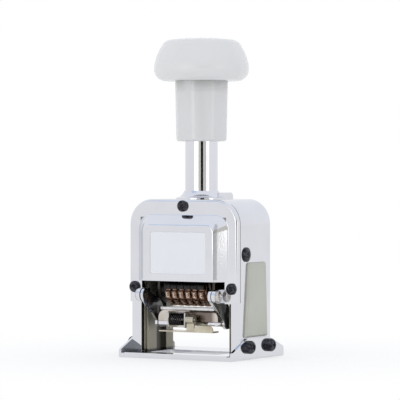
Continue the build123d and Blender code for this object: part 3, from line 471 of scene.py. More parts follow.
# The casting's skin shows through the plate along the hood's sides, and a grey strip lies over it
pebble(chromeHousing, {
    "low": (23.2, -28, 45.5), "high": (25.9, -23.2, 80), "soft": 0.8, "grainScale": 2200, "depth": 0.000014,
})
soil(chromeHousing, [
    {"low": (23.3, -28, 45.5), "high": (25.4, -24.2, 78), "soft": 0.5, "amount": 0.5,
     "drift": 0.9, "driftScale": 1700, "colour": (0.26, 0.265, 0.275), "rough": 0.3},
])
soil(chromeStrap, [
    # Painted shade near black on the insides of the arms, and a painted reflection in wavy dark bands on
    # their outsides
    {"low": (20.8, -32, 14), "high": (21.7, 0, 42), "soft": 0.1, "amount": 0.88,
     "colour": (0.030, 0.027, 0.024), "rough": 0.3},
    {"low": (23.2, -16.5, 15), "high": (24.2, -3, 36), "soft": 0.1, "amount": 0.35,
     "drift": 2, "driftScale": 150, "colour": (0.020, 0.020, 0.022), "rough": 0.2},
    {"low": (23.2, -13.0, 15), "high": (24.2, -8.6, 40), "soft": 0.15, "amount": 0.8,
     "drift": 9, "driftScale": 130, "colour": (0.010, 0.010, 0.012), "rough": 0.2},
])
soil(traySheet, [
    # Ink dried on the end of the tray that the pin leaves open, and painted shade in a dark line under its
    # rim
    {"low": (0.5, -22, 15), "high": (18.5, 4, 33), "soft": 3.0, "amount": 0.85, "side": 1,
     "drift": 3, "driftScale": 130, "colour": (0.145, 0.105, 0.090), "rough": 0.25},
    {"low": (1.0, -22, 26.2), "high": (21, 4, 29), "soft": 0.4, "amount": 0.85, "side": 1,
     "drift": 0.8, "driftScale": 300, "colour": (0.025, 0.018, 0.014), "rough": 0.3},
])
soil(gripPlastic, [
    # Painted shadow under the knob
    {"low": (-1, -20, 153), "high": (20, 20, 180), "soft": 5.5, "amount": 0.55,
     "colour": (0.36, 0.365, 0.345), "rough": 0.4},
])
soil(chromeBase, [
    # Painted dark reflection on the inner faces of the ears
    {"low": (34, -40, 2.4), "high": (36.5, 40, 14), "soft": 0.15, "amount": 0.75,
     "drift": 0.5, "driftScale": 260, "colour": (0.10, 0.115, 0.13), "rough": 0.3},
])
print("materials ready")


# Pieces copied from the frame, with their sharp edges rounded

edgesByFinish = {  # millimetres
    chromePlate: {"column_collar": 0.25},
    chromeHousing: {"frame": 0.35, "front_cover": 0.3},
    chromeBase: {"base_plate": 0.45},
    chromeStrap: {"ink_strap": 0.25},
    guidePlastic: {"guide_insert_right": 0.25, "guide_insert_left": 0.25},
    labelWhite: {"label_plate": 0.08},
    traySheet: {"pad_tray": 0.2},
    tabSheet: {"finger_tab": 0.15},
    darkSteel: {
        "side_plate_right": 0.15, "side_plate_left": 0.15, "guide_shoe_right": 0.2, "guide_shoe_left": 0.2,
        "comb_bar": 0.2, "pawl_arm_right": 0.15, "pawl_arm_left": 0.15,
    },
    springSteel: {"detent_comb": 0.06, "drive_pawl": 0.1, "shaft_clips": 0.15},
    brightSteel: {
        "crosshead": 0.3, "pawl_bar": 0.2, "latch_bracket": 0.15, "latch_pin": 0.2, "wheel_shaft": 0.25,
        "tie_rod": 0.2, "shaft_spacers": 0.15, "rod_nut": 0.3, "spring_washer": 0.2,
    },
    bufferRubber: {"stop_ring": 0.3},
    bushBronze: {"rod_bush": 0.2},
    gripPlastic: {"grip_sleeve": 0.2},
}
slotOf = {part["node"]: part["material_slot"] for part in frame["record"]["subparts"]}
bodyOf = {name: body for body, names in frame["record"]["behaviour"]["bodies"].items() for name in names}


def pieceName(nodeName):
    first, *rest = nodeName.split("_")
    return first + "".join(word.capitalize() for word in rest)


def roundEdges(piece, width, segments=2, worn=None, sharpest=40):
    # Rounds edges sharper than an angle. The rounding takes the worn finish where one is given.
    bevel = piece.modifiers.new("Rounded edges", "BEVEL")
    if worn is not None:
        piece.data.materials.append(worn)
        bevel.material = 1
    bevel.width = width * mm
    bevel.segments = segments
    bevel.limit_method = "ANGLE"
    bevel.angle_limit = math.radians(sharpest)
    bevel.miter_outer = "MITER_ARC"
    normals = piece.modifiers.new("Even normals", "WEIGHTED_NORMAL")
    normals.weight = 80
    applyModifiers(piece)


def roundedCopy(nodeName, finish, edge):
    mesh = cad[nodeName].data.copy()
    mesh.name = pieceName(nodeName)
    work = bmesh.new()
    work.from_mesh(mesh)
    bmesh.ops.remove_doubles(work, verts=work.verts, dist=1e-6)
    bmesh.ops.dissolve_limit(
        work, angle_limit=math.radians(0.4), use_dissolve_boundaries=False,
        verts=work.verts, edges=work.edges,
    )
    for face in work.faces:
        face.smooth = True
    work.to_mesh(mesh)
    work.free()
    if "custom_normal" in mesh.attributes:
        mesh.attributes.remove(mesh.attributes["custom_normal"])
    mesh.materials.clear()
    mesh.materials.append(finish)
    piece = addObject(pieceName(nodeName), mesh)
    roundEdges(piece, edge)
    return settle(piece, bodyOf[nodeName], slotOf[nodeName], nodeName)


for finish, edges in edgesByFinish.items():
    for nodeName, edge in edges.items():
        roundedCopy(nodeName, finish, edge)
print("frame pieces copied and rounded")


# Turned pieces: a profile of (radius, height) points spun round the machine's axis

def buildTurnedTree():
    tree, given = newTree("Turned piece", Int="Segments", Material="Finish")
    rows = put(tree, "GeometryNodeAttributeDomainSize", {
        "Geometry": given["Geometry"],
    }).outputs["Point Count"]
    columns = plus(tree, given["Segments"], 1.0)
    grid = put(tree, "GeometryNodeMeshGrid", {"Vertices X": columns, "Vertices Y": rows})
    column, row = countOff(tree, rows)
    here = put(tree, "GeometryNodeInputPosition").outputs[0]
    point = put(
        tree, "GeometryNodeSampleIndex",
        {"Geometry": given["Geometry"], "Value": here, "Index": row}, data_type="FLOAT_VECTOR",
    ).outputs[0]
    profile = axes(tree, point)
    angle = times(tree, maths(tree, "DIVIDE", column, given["Segments"]), 2 * math.pi)
    across, back = polar(tree, profile["X"], angle)
    place = vector(tree, X=across, Y=back, Z=profile["Z"])
    shape = reshaped(tree, grid.outputs[0], Position=place)
    closed = put(tree, "GeometryNodeMergeByDistance", {"Geometry": shape, "Distance": 1e-6})
    endTree(tree, smoothShade(tree, closed.outputs[0]), given["Finish"])
    return tree


turnedTree = buildTurnedTree()


def turnedPiece(name, profile, finish, segments=128):
    points = [(radius, 0, height) for radius, height in profile]
    return grow(name, turnedTree, {"Segments": segments, "Finish": finish}, points, recalc=True)


def arcRun(start, heading, end, steps):
    # The arc that leaves start along heading and reaches end, and its heading there
    bend = math.atan2(end[1] - start[1], end[0] - start[0]) - heading
    reach = math.dist(start, end)
    line = []
    for step in range(1, steps + 1):
        part = bend * step / steps
        far = reach * math.sin(part) / math.sin(bend)
        line.append((start[0] + far * math.cos(heading + part), start[1] + far * math.sin(heading + part)))
    return line, heading + 2 * bend


knob = {
    "foot": (21.5, 160.0), "widest": (27.6, 166.8), "flank": (26.95, 171.7),
    "shoulder": (22.6, 181.2), "face": (18.1, 183.9), "top": 185.0, "steps": 9, "flankSteps": 4,
    "recess": 12.05, "recessTop": 163.2, "recessEdge": 0.2,
    "bore": 10.0, "boreTop": 172.2, "neck": 3.05, "neckTop": 180.2,
}


def knobProfile(
    foot, widest, flank, shoulder, face, top, steps, flankSteps,
    recess, recessTop, recessEdge, bore, boreTop, neck, neckTop,
):
    up = math.pi / 2
    hollow = [
        (0, neckTop), (neck, neckTop), (neck, boreTop), (bore, boreTop), (bore, recessTop),
        (recess, recessTop), (recess, foot[1] + recessEdge), (recess + recessEdge, foot[1]),
    ]
    under = arcRun(widest, -up, foot, steps)[0][::-1]
    swell, heading = arcRun(widest, up, flank, flankSteps)
    side, heading = arcRun(flank, heading, shoulder, steps)
    rim = arcRun(shoulder, heading, face, steps)[0]
    crown = arcRun((0, top), 0.0, face, steps)[0][::-1]
    return hollow + under + [widest] + swell + side + rim + crown[1:] + [(0, top)]


knobCap = turnedPiece("knobCap", knobProfile(**knob), knobPlastic)
settle(knobCap, "plunger", "knob_plastic", "knob_cap")

column = {"outer": 9.5, "bore": 7.7, "foot": 84.0, "top": 138.2, "edge": 0.35, "middle": 0.1}


def columnProfile(outer, bore, foot, top, edge, middle):
    return [
        (bore, foot), (outer, foot), (outer, top - 2 * edge), (outer, top - edge),
        (outer - middle, top - middle), (outer - edge, top), (bore + edge, top), (bore, top - edge),
        (bore, foot),
    ]


columnTube = turnedPiece("columnTube", columnProfile(**column), chromePlate)
settle(columnTube, "housing", "chrome_plate", "column_tube")

rod = {
    "radius": 4.0, "neck": 3.0, "foot": 62.0, "shoulder": 79.2, "washer": 170.7, "top": 180.2,
    "footEdge": 0.4, "edge": 0.2, "straight": 0.6, "topEdge": 0.5,
}


def rodProfile(radius, neck, foot, shoulder, washer, top, footEdge, edge, straight, topEdge):
    return [
        (0, foot), (neck - footEdge, foot), (neck, foot + footEdge), (neck, shoulder),
        (radius - edge, shoulder), (radius, shoulder + edge), (radius, shoulder + straight),
        (radius, washer - straight), (radius, washer - edge), (radius - edge, washer),
        (neck, washer), (neck, top - topEdge), (neck - topEdge, top), (0, top),
    ]


plungerRod = turnedPiece("plungerRod", rodProfile(**rod), brightSteel, segments=64)
settle(plungerRod, "plunger", "bright_steel", "plunger_rod")
print("knob, column and rod turned")


# Coil springs

def buildCoilTree():
    tree, given = newTree(
        "Coil spring", Float="Turns, Radius, Length, Wire", Vector="Start, Lean", Material="Finish",
    )
    spiral = put(tree, "GeometryNodeCurveSpiral", {
        "Resolution": 28, "Rotations": given["Turns"], "Start Radius": given["Radius"],
        "End Radius": given["Radius"], "Height": given["Length"],
    })
    wire = put(tree, "GeometryNodeCurvePrimitiveCircle", {"Resolution": 12, "Radius": given["Wire"]})
    coil = put(tree, "GeometryNodeCurveToMesh", {
        "Curve": spiral.outputs[0], "Profile Curve": wire.outputs[0], "Fill Caps": True,
    })
    spring = placed(tree, coil.outputs[0], Translation=given["Start"], Rotation=given["Lean"])
    endTree(tree, smoothShade(tree, spring, 50), given["Finish"])
    return tree


coilTree = buildCoilTree()


def makeCoil(name, coil, lean=(0, 0, 0)):
    return grow(name, coilTree, {
        "Turns": coil["turns"], "Radius": coil["radius"] * mm, "Wire": coil["wire"] * mm,
        "Length": coil["length"] * mm, "Start": tuple(v * mm for v in coil["start"]), "Lean": lean,
        "Finish": springSteel,
    }, recalc=True)


mainSpring = makeCoil("mainSpring", {
    "turns": 9.0, "radius": 5.9, "wire": 0.78, "length": 71.0, "start": (0, 0, 98.85),
})
settle(mainSpring, "plunger", "spring_steel", "main_spring")
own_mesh(mainSpring)

latchSpring = makeCoil("latchSpring", {
    "turns": 7.0, "radius": 3.1, "wire": 0.46, "length": 8.8, "start": (-8.3, -20.25, 22.5),
}, lean=(0, math.radians(90), 0))
settle(latchSpring, "ink_carrier", "spring_steel", "latch_spring")


# Screws: one tree makes a pan head with a cross recess and sets it on each point

# Shares of the head's radius and height and of the shank's length. The crown falls by a power
# of the way out.
screwHead = {
    "crownPower": 5.0, "crownFall": 0.45, "armLong": 1.24, "armShort": 0.3, "armNarrowing": 0.55,
    "armRise": 0.92, "shankShift": -0.499, "edge": 0.055,
}


def buildScrewTree():
    tree, given = newTree(
        "Cross-head screws", Float="Head radius, Head height, Shank radius, Shank length",
        Vector="Facing", Int="Seed", Material="Finish",
    )
    radius, height = given["Head radius"], given["Head height"]
    blank = put(tree, "GeometryNodeMeshCylinder", {
        "Vertices": 40, "Side Segments": 1, "Fill Segments": 7, "Radius": radius, "Depth": height,
    }, fill_type="NGON")
    # The upper face falls away towards its rim
    here = axes(tree, put(tree, "GeometryNodeInputPosition").outputs[0])
    out = maths(tree, "SQRT", plus(
        tree, maths(tree, "POWER", here["X"], 2.0), maths(tree, "POWER", here["Y"], 2.0),
    ))
    fall = maths(tree, "POWER", maths(tree, "DIVIDE", out, radius), screwHead["crownPower"])
    upper = maths(tree, "GREATER_THAN", here["Z"], 0.0)
    drop = times(tree, times(tree, fall, upper), times(tree, height, -screwHead["crownFall"]))
    lift = vector(tree, Z=plus(tree, drop, times(tree, height, 0.5)))
    head = reshaped(tree, blank.outputs[0], Offset=lift)
    cut = put(tree, "GeometryNodeMeshBoolean", {"Mesh 1": head}, operation="DIFFERENCE", solver="EXACT")
    # Two crossed wedges cut the recess
    long, short = screwHead["armLong"], screwHead["armShort"]
    for sideX, sideY in ((long, short), (short, long)):
        size = vector(tree, X=times(tree, radius, sideX), Y=times(tree, radius, sideY), Z=height)
        arm = put(tree, "GeometryNodeMeshCube", {"Size": size})
        low = maths(tree, "LESS_THAN", here["Z"], 0.0)
        squeeze = minus(tree, 1.0, times(tree, low, screwHead["armNarrowing"]))
        narrowed = vector(
            tree, X=times(tree, here["X"], squeeze), Y=times(tree, here["Y"], squeeze),
            Z=plus(tree, here["Z"], times(tree, height, screwHead["armRise"])),
        )
        tree.links.new(reshaped(tree, arm.outputs[0], Position=narrowed), cut.inputs["Mesh 2"])
    shank = put(tree, "GeometryNodeMeshCylinder", {
        "Vertices": 28, "Radius": given["Shank radius"], "Depth": given["Shank length"],
    })
    # The shank's end goes just inside the head
    shift = vector(tree, Z=times(tree, given["Shank length"], screwHead["shankShift"]))
    sunk = placed(tree, shank.outputs[0], Translation=shift)
    crisp = smoothShade(tree, joined(tree, cut.outputs[0], sunk), 32)
    spin = put(tree, "FunctionNodeRandomValue", {
        2: 0.0, 3: math.pi, "Seed": given["Seed"],
    }, data_type="FLOAT").outputs[1]
    facing = put(tree, "FunctionNodeEulerToRotation", {0: given["Facing"]}).outputs[0]
    turned = put(tree, "FunctionNodeRotateRotation", {
        "Rotation": facing,
        "Rotate By": put(tree, "FunctionNodeEulerToRotation", {0: vector(tree, Z=spin)}).outputs[0],
    }, rotation_space="LOCAL")
    screws = put(tree, "GeometryNodeInstanceOnPoints", {
        "Points": given["Geometry"], "Instance": crisp, "Rotation": turned.outputs[0],
    })
    endTree(tree, screws.outputs[0], given["Finish"])
    return tree


screwTree = buildScrewTree()
towardsFront = (math.radians(90), 0, 0)
towardsRight = (0, math.radians(90), 0)
towardsLeft = (0, math.radians(-90), 0)


def bothSides(x, places, seedRight, seedLeft):
    return [
        (towardsRight, [(x, *place) for place in places], seedRight),
        (towardsLeft, [(-x, *place) for place in places], seedLeft),
    ]


# Each size is the head's radius and height and the shank's radius and length
screwSets = {
    "cover_screws": {
        "size": (3.3, 1.9, 1.5, 7.0), "finish": blackScrew,
        "groups": [(towardsFront, [(0, -21.05, 87.7), (-32.4, -21.05, 40.7), (32.4, -21.05, 40.7)], 4)],
    },
    "side_screws": {
        "size": (4.2, 1.3, 1.7, 5.0), "finish": blackScrew, "groups": bothSides(36.2, [(-11.2, 60.1)], 3, 8),
    },
    "base_screws": {
        "size": (3.8, 3.8, 1.5, 6.0), "finish": blackScrew,
        "groups": bothSides(38, [(-12, 7.3), (12, 7.3)], 6, 2),
    },
    "ink_pivot_screws": {
        "size": (3.4, 1.6, 1.7, 5.0), "finish": brightSteel, "groups": bothSides(26.2, [(-26.2, 36.4)], 5, 7),
    },
    "plate_screws": {
        "size": (2.4, 1.1, 1.2, 6.0), "finish": blackScrew,
        "groups": bothSides(19.2, [(-2.2, 73.1), (4.2, 73.1)], 1, 9),
    },
    "shoe_screws": {
        "size": (2.1, 1.1, 1.1, 6.5), "finish": blackScrew,
        "groups": bothSides(-17.6, [(0, 37.2), (0, 58.1)], 1, 9),
    },
    "comb_screws": {
        "size": (1.6, 0.9, 0.9, 3.0), "finish": blackScrew,
        "groups": [(towardsFront, [(-9, -0.9, 54.2), (9, -0.9, 54.2)], 2)],
    },
}


def joinInto(first, others):
    # One mesh of several, each face with its own finish
    work, finishes = bmesh.new(), []
    for piece in [first] + others:
        before = len(work.faces)
        work.from_mesh(piece.data)
        own = list(piece.data.materials)
        finishes += [finish for finish in own if finish not in finishes]
        work.faces.ensure_lookup_table()
        for face in work.faces[before:]:
            face.material_index = finishes.index(own[face.material_index])
    first.data.materials.clear()
    work.to_mesh(first.data)
    work.free()
    for finish in finishes:
        first.data.materials.append(finish)
    for piece in others:
        bpy.data.objects.remove(piece)
    return first


for nodeName, screws in screwSets.items():
    headRadius, headHeight, shankRadius, shankLength = (size * mm for size in screws["size"])
    grown = []
    for number, (facing, places, seed) in enumerate(screws["groups"]):
        grown.append(grow(pieceName(nodeName) + (str(number) if number else ""), screwTree, {
            "Head radius": headRadius, "Head height": headHeight, "Shank radius": shankRadius,
            "Shank length": shankLength, "Facing": facing, "Seed": seed, "Finish": screws["finish"],
        }, places))
    screwSet = joinInto(grown[0], grown[1:])
    edge = rubbedEdge if screws["finish"] == blackScrew else brightSteel
    roundEdges(screwSet, screwHead["edge"] * screws["size"][0], 1, edge)
    settle(screwSet, bodyOf[nodeName], slotOf[nodeName], nodeName)
print("springs and screws made")


# Digit wheels: a rim of ten type blocks with a ratchet beside it, and the figures on the blocks

def raised(tree, curves, wall):
    # The upper side with its walls, and the underside, of flat outlines
    flat = put(tree, "GeometryNodeFillCurve", {"Curve": curves}, mode="NGONS").outputs[0]
    upper = put(tree, "GeometryNodeExtrudeMesh", {
        "Mesh": flat, "Offset": vector(tree, Z=1.0), "Offset Scale": wall, "Individual": False,
    }).outputs[0]
    return upper, put(tree, "GeometryNodeFlipFaces", {"Mesh": flat}).outputs[0]


def slab(tree, outline, bore, low, wall):
    # A flat outline with a hole, raised from one height to another
    hole = put(tree, "GeometryNodeCurvePrimitiveCircle", {"Resolution": 36, "Radius": bore}).outputs[0]
    shell = joined(tree, *raised(tree, joined(tree, outline, hole), wall))
    closed = put(tree, "GeometryNodeMergeByDistance", {"Geometry": shell, "Distance": 1e-6}).outputs[0]
    return placed(tree, closed, Translation=vector(tree, Z=low))


def outlineAt(tree, count, across, up):
    ring = put(tree, "GeometryNodeCurvePrimitiveCircle", {"Resolution": count, "Radius": 0.001}).outputs[0]
    return reshaped(tree, ring, Position=vector(tree, X=across, Y=up))


def onShaft(tree, geometry, centre):
    # From the Z axis over to X, on the wheel shaft
    return placed(tree, geometry, Rotation=(0, math.radians(90), 0), Translation=centre)


def buildWheelTree():
    tree, given = newTree(
        "Digit wheel", Vector="Centre", Material="Finish",
        Float="Rim width, Ratchet width, Bore, Block face, Block foot, Block width, Tooth tip, Tooth root",
    )
    # Ten blocks of four corners each, 36 degrees apart
    block, corner = countOff(tree, 4.0)
    angle = times(tree, block, math.radians(36))
    sine, cosine = maths(tree, "SINE", angle), maths(tree, "COSINE", angle)
    high = maths(tree, "LESS_THAN", maths(tree, "ABSOLUTE", minus(tree, corner, 1.5)), 1.0)
    reach = spread(tree, high, 0, 1, given["Block foot"], given["Block face"])
    half = times(tree, given["Block width"], 0.5)
    late = maths(tree, "GREATER_THAN", corner, 1.5)
    aside = spread(tree, late, 0, 1, times(tree, half, -1.0), half)
    across = minus(tree, times(tree, reach, cosine), times(tree, aside, sine))
    up = plus(tree, times(tree, reach, sine), times(tree, aside, cosine))
    rim = slab(tree, outlineAt(tree, 40, across, up), given["Bore"], 0.0, given["Rim width"])
    # A tip and a root to each of ten ratchet teeth
    tooth, root = countOff(tree, 2.0)
    turn = plus(tree, times(tree, tooth, math.radians(36)), times(tree, root, math.radians(4)))
    radius = spread(tree, root, 0, 1, given["Tooth tip"], given["Tooth root"])
    outline = outlineAt(tree, 20, *polar(tree, radius, turn))
    ratchet = slab(tree, outline, given["Bore"], given["Rim width"], given["Ratchet width"])
    endTree(tree, onShaft(tree, joined(tree, rim, ratchet), given["Centre"]), given["Finish"])
    return tree


def buildFigureTree():
    # Figures 0 to 9, mirrored as type is, one on each block
    tree, given = newTree(
        "Type figures", Vector="Centre", Float="Middle, Block face, Figure height, Figure width, Relief",
        Int="Shown", Material="Finish",
    )
    letters = put(tree, "GeometryNodeStringToCurves", {
        "String": "0123456789", "Size": given["Figure height"],
    }, pivot_mode="MIDPOINT").outputs
    # Each figure's middle goes to the origin
    shift = vectorMaths(tree, "SCALE", {0: letters["Pivot Point"], "Scale": -1.0})
    gathered = reshaped(tree, letters["Curve Instances"], Position=shift)
    upper, under = raised(tree, gathered, given["Relief"])
    ring = put(tree, "GeometryNodeMeshCircle", {"Vertices": 10, "Radius": 1.0}).outputs[0]
    here = put(tree, "GeometryNodeInputPosition").outputs[0]
    far = vectorMaths(tree, "SCALE", {0: here, "Scale": given["Block face"]})
    spot = vectorMaths(tree, "ADD", {0: far, 1: vector(tree, Z=given["Middle"])})
    facing = put(tree, "FunctionNodeAxesToRotation", {
        "Primary Axis": here, "Secondary Axis": (0, 0, 1),
    }, primary_axis="Z", secondary_axis="X").outputs[0]
    kept = put(tree, "GeometryNodeCaptureAttribute", {"Geometry": ring}, domain="POINT")
    kept.capture_items.new("ROTATION", "Facing")
    tree.links.new(facing, kept.inputs["Facing"])
    points = reshaped(tree, kept.outputs[0], Position=spot)
    index = put(tree, "GeometryNodeInputIndex").outputs[0]
    figure = maths(tree, "FLOORED_MODULO", plus(tree, index, given["Shown"]), 10.0)
    width = vector(tree, X=times(tree, given["Figure width"], -1.0), Y=1.0, Z=1.0)
    rings = [put(tree, "GeometryNodeInstanceOnPoints", {
        "Points": points, "Instance": part, "Pick Instance": True, "Instance Index": figure,
        "Rotation": kept.outputs["Facing"], "Scale": width,
    }).outputs[0] for part in (upper, under)]
    endTree(tree, onShaft(tree, joined(tree, *rings), given["Centre"]), given["Finish"])
    return tree


wheelTree, figureTree = buildWheelTree(), buildFigureTree()
wheels = {
    "count": 6, "first": -13.4, "pitch": 4.5, "y": -9.5, "z": 39.3, "edge": 0.16,
    "form": {
        "Rim width": 2.94, "Ratchet width": 1.26, "Bore": 2.05, "Block face": 9.42, "Block foot": 8.0,
        "Block width": 4.3, "Tooth tip": 8.15, "Tooth root": 7.0,
    },
    "figures": {"Middle": 1.47, "Block face": 9.39, "Figure height": 4.1, "Relief": 0.30},
    "figureWidth": 0.88, "shown": (5, 5, 5, 5, 4, 7),
}


def metres(lengths):
    return {label: length * mm for label, length in lengths.items()}


def makeWheel(number):
    name = "digitWheel" + str(number)
    centre = ((wheels["first"] + (number - 1) * wheels["pitch"]) * mm, wheels["y"] * mm, wheels["z"] * mm)
    wheel = grow(name, wheelTree, {
        "Centre": centre, "Finish": typeBronze, **metres(wheels["form"]),
    }, recalc=True)
    for face in wheel.data.polygons:
        face.use_smooth = True
    roundEdges(wheel, wheels["edge"], 2, figureBronze)
    figures = grow(name + "Figures", figureTree, {
        "Centre": centre, "Figure width": wheels["figureWidth"], "Shown": wheels["shown"][number - 1],
        "Finish": figureBronze, **metres(wheels["figures"]),
    }, recalc=True)
    joinInto(wheel, [figures])
    settle(wheel, "wheel_" + str(number), "type_bronze", "digit_wheel_" + str(number))


for number in range(1, wheels["count"] + 1):
    makeWheel(number)
print("digit wheels made")


# Ink pad: two felt blocks with worn, swollen sides, the upper one standing out of the tray

pad = {
    "sheet": ((-18.15, -16.45, 27.55), (18.15, -2.65, 28.95)),
    "core": ((-15.4, -14.5, 21.9), (15.4, -3.0, 27.9)),
    "edge": 0.55, "cell": 0.5, "fewestCells": 6, "swell": 0.07, "nap": 0.045, "napScale": 2.3,
    "topFacing": 0.3, "lipBack": -14.6, "lipRise": 0.36, "lipRun": 0.9,
}


def feltBlock(work, low, high):
    low, high = Vector(low), Vector(high)
    centre, half = (low + high) / 2, (high - low) / 2
    edge = min(pad["edge"], *(0.95 * h for h in half))
    inner = half - Vector((edge, edge, edge))
    hasLip = low.y < pad["lipBack"] - 1
    seen = {}

    def corner(*spot):
        key = tuple(round(v, 4) for v in spot)
        if key not in seen:
            at = Vector(spot)
            clamped = Vector([max(-i, min(i, v)) for i, v in zip(inner, at)])
            out = (at - clamped).normalized()
            at = clamped + out * edge
            if out.z > pad["topFacing"]:
                # The top swells a little between its sides, and the front of the upper block has a lip
                bulge = pad["swell"] * (1 - (at.x / half.x) ** 2) * (1 - (at.y / half.y) ** 2)
                at.z += bulge - pad["swell"]
                front = max(0.0, min(1.0, (pad["lipBack"] - (centre.y + at.y)) / pad["lipRun"]))
                if hasLip:
                    at.z += pad["lipRise"] * front * front * (3 - 2 * front)
            at -= out * pad["nap"] * (0.5 + 0.5 * noise.noise((centre + at) * pad["napScale"]))
            seen[key] = work.verts.new((centre + at) * mm)
        return seen[key]

    for axis in range(3):
        u, v = [a for a in range(3) if a != axis]
        counts = [max(pad["fewestCells"], round(2 * half[a] / pad["cell"])) for a in (u, v)]
        for side in (-1, 1):
            def gridCorner(i, j):
                spot = [0.0, 0.0, 0.0]
                spot[axis] = side * half[axis]
                spot[u] = half[u] * (2 * i / counts[0] - 1)
                spot[v] = half[v] * (2 * j / counts[1] - 1)
                return corner(*spot)
            for i in range(counts[0]):
                for j in range(counts[1]):
                    quad = [gridCorner(*ij) for ij in ((i, j), (i + 1, j), (i + 1, j + 1), (i, j + 1))]
                    work.faces.new(quad).smooth = True


def makePad():
    work = bmesh.new()
    feltBlock(work, *pad["sheet"])
    feltBlock(work, *pad["core"])
    bmesh.ops.recalc_face_normals(work, faces=work.faces)
    mesh = bpy.data.meshes.new("inkPad")
    work.to_mesh(mesh)
    work.free()
    mesh.materials.append(padFelt)
    return addObject("inkPad", mesh)


inkPad = settle(makePad(), "ink_carrier", "felt", "ink_pad")
print("ink pad made")


# Floor, world, lamps and camera

def aimed(place, target):
    return (Vector(target) - Vector(place)).to_track_quat("-Z", "Y").to_euler()


def glow(tree, colour):
    return put(tree, "ShaderNodeEmission", {"Color": (*colour, 1), "Strength": 1.0}).outputs[0]


def mixShader(tree, share, first, second):
    return put(tree, "ShaderNodeMixShader", {0: share, 1: first, 2: second}).outputs[0]


def emptyMaterial(name):
    material = bpy.data.materials.new(name)
    material.use_nodes = True
    material.node_tree.nodes.clear()
    return material, material.node_tree


view = {
    "eye": (784.6, -1332.0, 113.0),  # millimetres
    "target": (-0.75, -0.44, 90.9),
    "lens": 239.4, "sensor": 36, "near": 0.05, "far": 60,
}
camera = addObject("Camera", bpy.data.cameras.new("Camera"))
camera.location = Vector(view["eye"]) * mm
camera.rotation_euler = aimed(view["eye"], view["target"])
camera.data.lens = view["lens"]
camera.data.sensor_width = view["sensor"]
camera.data.clip_start, camera.data.clip_end = view["near"], view["far"]
scene.camera = camera


def buildWorld(sky):
    # White to the camera; elsewhere a tent that is cool above and warm below
    world = bpy.data.worlds.new("Studio tent")
    scene.world = world
    world.use_nodes = True
    tree = world.node_tree
    tree.nodes.clear()
    path = put(tree, "ShaderNodeLightPath").outputs
    height = axes(tree, put(tree, "ShaderNodeTexCoord").outputs["Generated"])["Z"]
    cool = blendColour(tree, spread(tree, height, 0.0, sky["topFrom"], 0, 1), sky["side"], sky["top"])
    tent = blendColour(tree, spread(tree, height, sky["belowFrom"], 0.0, 1, 0), cool, sky["below"])
    lit = put(tree, "ShaderNodeBackground", {"Color": tent, "Strength": sky["strength"]}).outputs[0]
    white = put(tree, "ShaderNodeBackground", {"Color": (1, 1, 1, 1), "Strength": 1.0}).outputs[0]
    put(tree, "ShaderNodeOutputWorld", {"Surface": mixShader(tree, path["Is Camera Ray"], lit, white)})


buildWorld({
    "side": (0.935, 0.94, 0.965), "top": (0.90, 0.93, 1.0), "below": (0.92, 0.91, 0.88),
    "topFrom": 0.9, "belowFrom": -0.5, "strength": 0.98,
})


def addFloor(floor):
    mesh = bpy.data.meshes.new("Floor")
    reach = floor["reach"]
    corners = [(-reach, -reach, 0), (reach, -reach, 0), (reach, reach, 0), (-reach, reach, 0)]
    mesh.from_pydata(corners, [], [(0, 1, 2, 3)])
    ground = addObject("Floor", mesh)
    ground.location.z = floor["height"]
    material, tree = emptyMaterial("Pale floor")
    path = put(tree, "ShaderNodeLightPath").outputs
    paper = put(tree, "ShaderNodeBsdfDiffuse", {"Color": (*floor["colour"], 1)}).outputs[0]
    # Away from the object the floor runs into the white background
    place = put(tree, "ShaderNodeTexCoord").outputs["Object"]
    away = put(tree, "ShaderNodeVectorMath", {0: place}, operation="LENGTH").outputs["Value"]
    white = spread(tree, away, *floor["fade"], floor["whiteShare"], 1)
    seen = maths(tree, "MAXIMUM", path["Is Camera Ray"], path["Is Transmission Ray"])
    mixed = mixShader(tree, times(tree, seen, white), paper, glow(tree, (1, 1, 1)))
    share = times(tree, path["Is Glossy Ray"], floor["mirroredShare"])
    mixed = mixShader(tree, share, mixed, glow(tree, floor["mirrored"]))
    put(tree, "ShaderNodeOutputMaterial", {"Surface": mixed})
    mesh.materials.append(material)


addFloor({
    "reach": 8.0, "height": -0.0001, "colour": (0.98, 0.975, 0.965), "whiteShare": 0.55,
    "fade": (0.08, 0.22), "mirrored": (0.90, 0.90, 0.90), "mirroredShare": 0.65,
})


def addLamp(name, lamp, target=(0, 0, 0.1)):
    light = bpy.data.lights.new(name, "AREA")
    light.shape = "RECTANGLE"
    light.size, light.size_y = lamp["size"]
    light.energy, light.color = lamp["power"], lamp["colour"]
    holder = addObject(name, light)
    holder.location = lamp["place"]
    holder.rotation_euler = aimed(lamp["place"], target)
    holder.visible_glossy = False


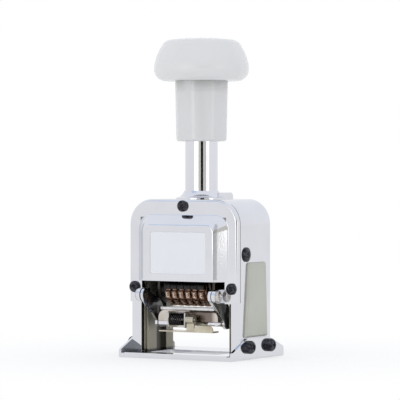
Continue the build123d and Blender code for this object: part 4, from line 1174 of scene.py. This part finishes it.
addLamp("Low front softbox", {
    "size": (0.7, 0.5), "power": 1.5, "colour": (1.0, 0.99, 0.97), "place": (-0.2, -1.4, 0.16),
})
addLamp("Overhead softbox", {
    "size": (0.9, 0.9), "power": 1.0, "colour": (0.97, 0.98, 1.0), "place": (0.2, 0.1, 1.3),
})

# Cards that only reflections see: the dark gap round the lens, a curtain each side of it, white boards
# further out and a cool window high up on the left. Each spans from one bearing to another, in degrees
# right of the camera's line, and from one height to another, in metres.
cards = {
    "lensGap": {"from": -5.2, "to": 11.8, "low": -0.4, "high": 0.45, "colour": (0.012, 0.011, 0.008)},
    "curtainLeft": {"from": -22, "to": -5.2, "low": -0.4, "high": 0.9, "colour": (0.66, 0.655, 0.60)},
    "curtainRight": {"from": 11.8, "to": 35, "low": -0.4, "high": 0.9, "colour": (0.66, 0.64, 0.60)},
    "whiteLeft": {"from": -51, "to": -22, "low": -0.4, "high": 0.42, "colour": (1.7, 1.7, 1.7)},
    "whiteRightLow": {"from": 26, "to": 51, "low": -0.4, "high": 0.055, "colour": (1.45, 1.45, 1.45)},
    "whiteRight": {"from": 35, "to": 54, "low": 0.055, "high": 0.42, "colour": (1.7, 1.7, 1.7)},
    "coolWindow": {"from": -78, "to": -42, "low": 0.9, "high": 2.4, "colour": (0.60, 0.72, 0.92)},
}
cameraBearing = math.atan2(view["eye"][0], -view["eye"][1])


def addCard(name, card, distance=1.9, pieces=8):
    mesh = bpy.data.meshes.new(name)
    corners = []
    for step in range(pieces + 1):
        bearing = cameraBearing + math.radians(card["from"] + (card["to"] - card["from"]) * step / pieces)
        x, y = math.sin(bearing) * distance, -math.cos(bearing) * distance
        corners += [(x, y, card["low"]), (x, y, card["high"])]
    faces = [(2 * step, 2 * step + 2, 2 * step + 3, 2 * step + 1) for step in range(pieces)]
    mesh.from_pydata(corners, [], faces)
    board = addObject(name, mesh)
    material, tree = emptyMaterial(name)
    put(tree, "ShaderNodeOutputMaterial", {"Surface": glow(tree, card["colour"])})
    mesh.materials.append(material)
    board.visible_camera = board.visible_diffuse = board.visible_shadow = False
    board.visible_transmission = board.visible_volume_scatter = False


for name, card in cards.items():
    addCard(name, card)
print("stage and camera ready")

scene.view_settings.view_transform = "Standard"
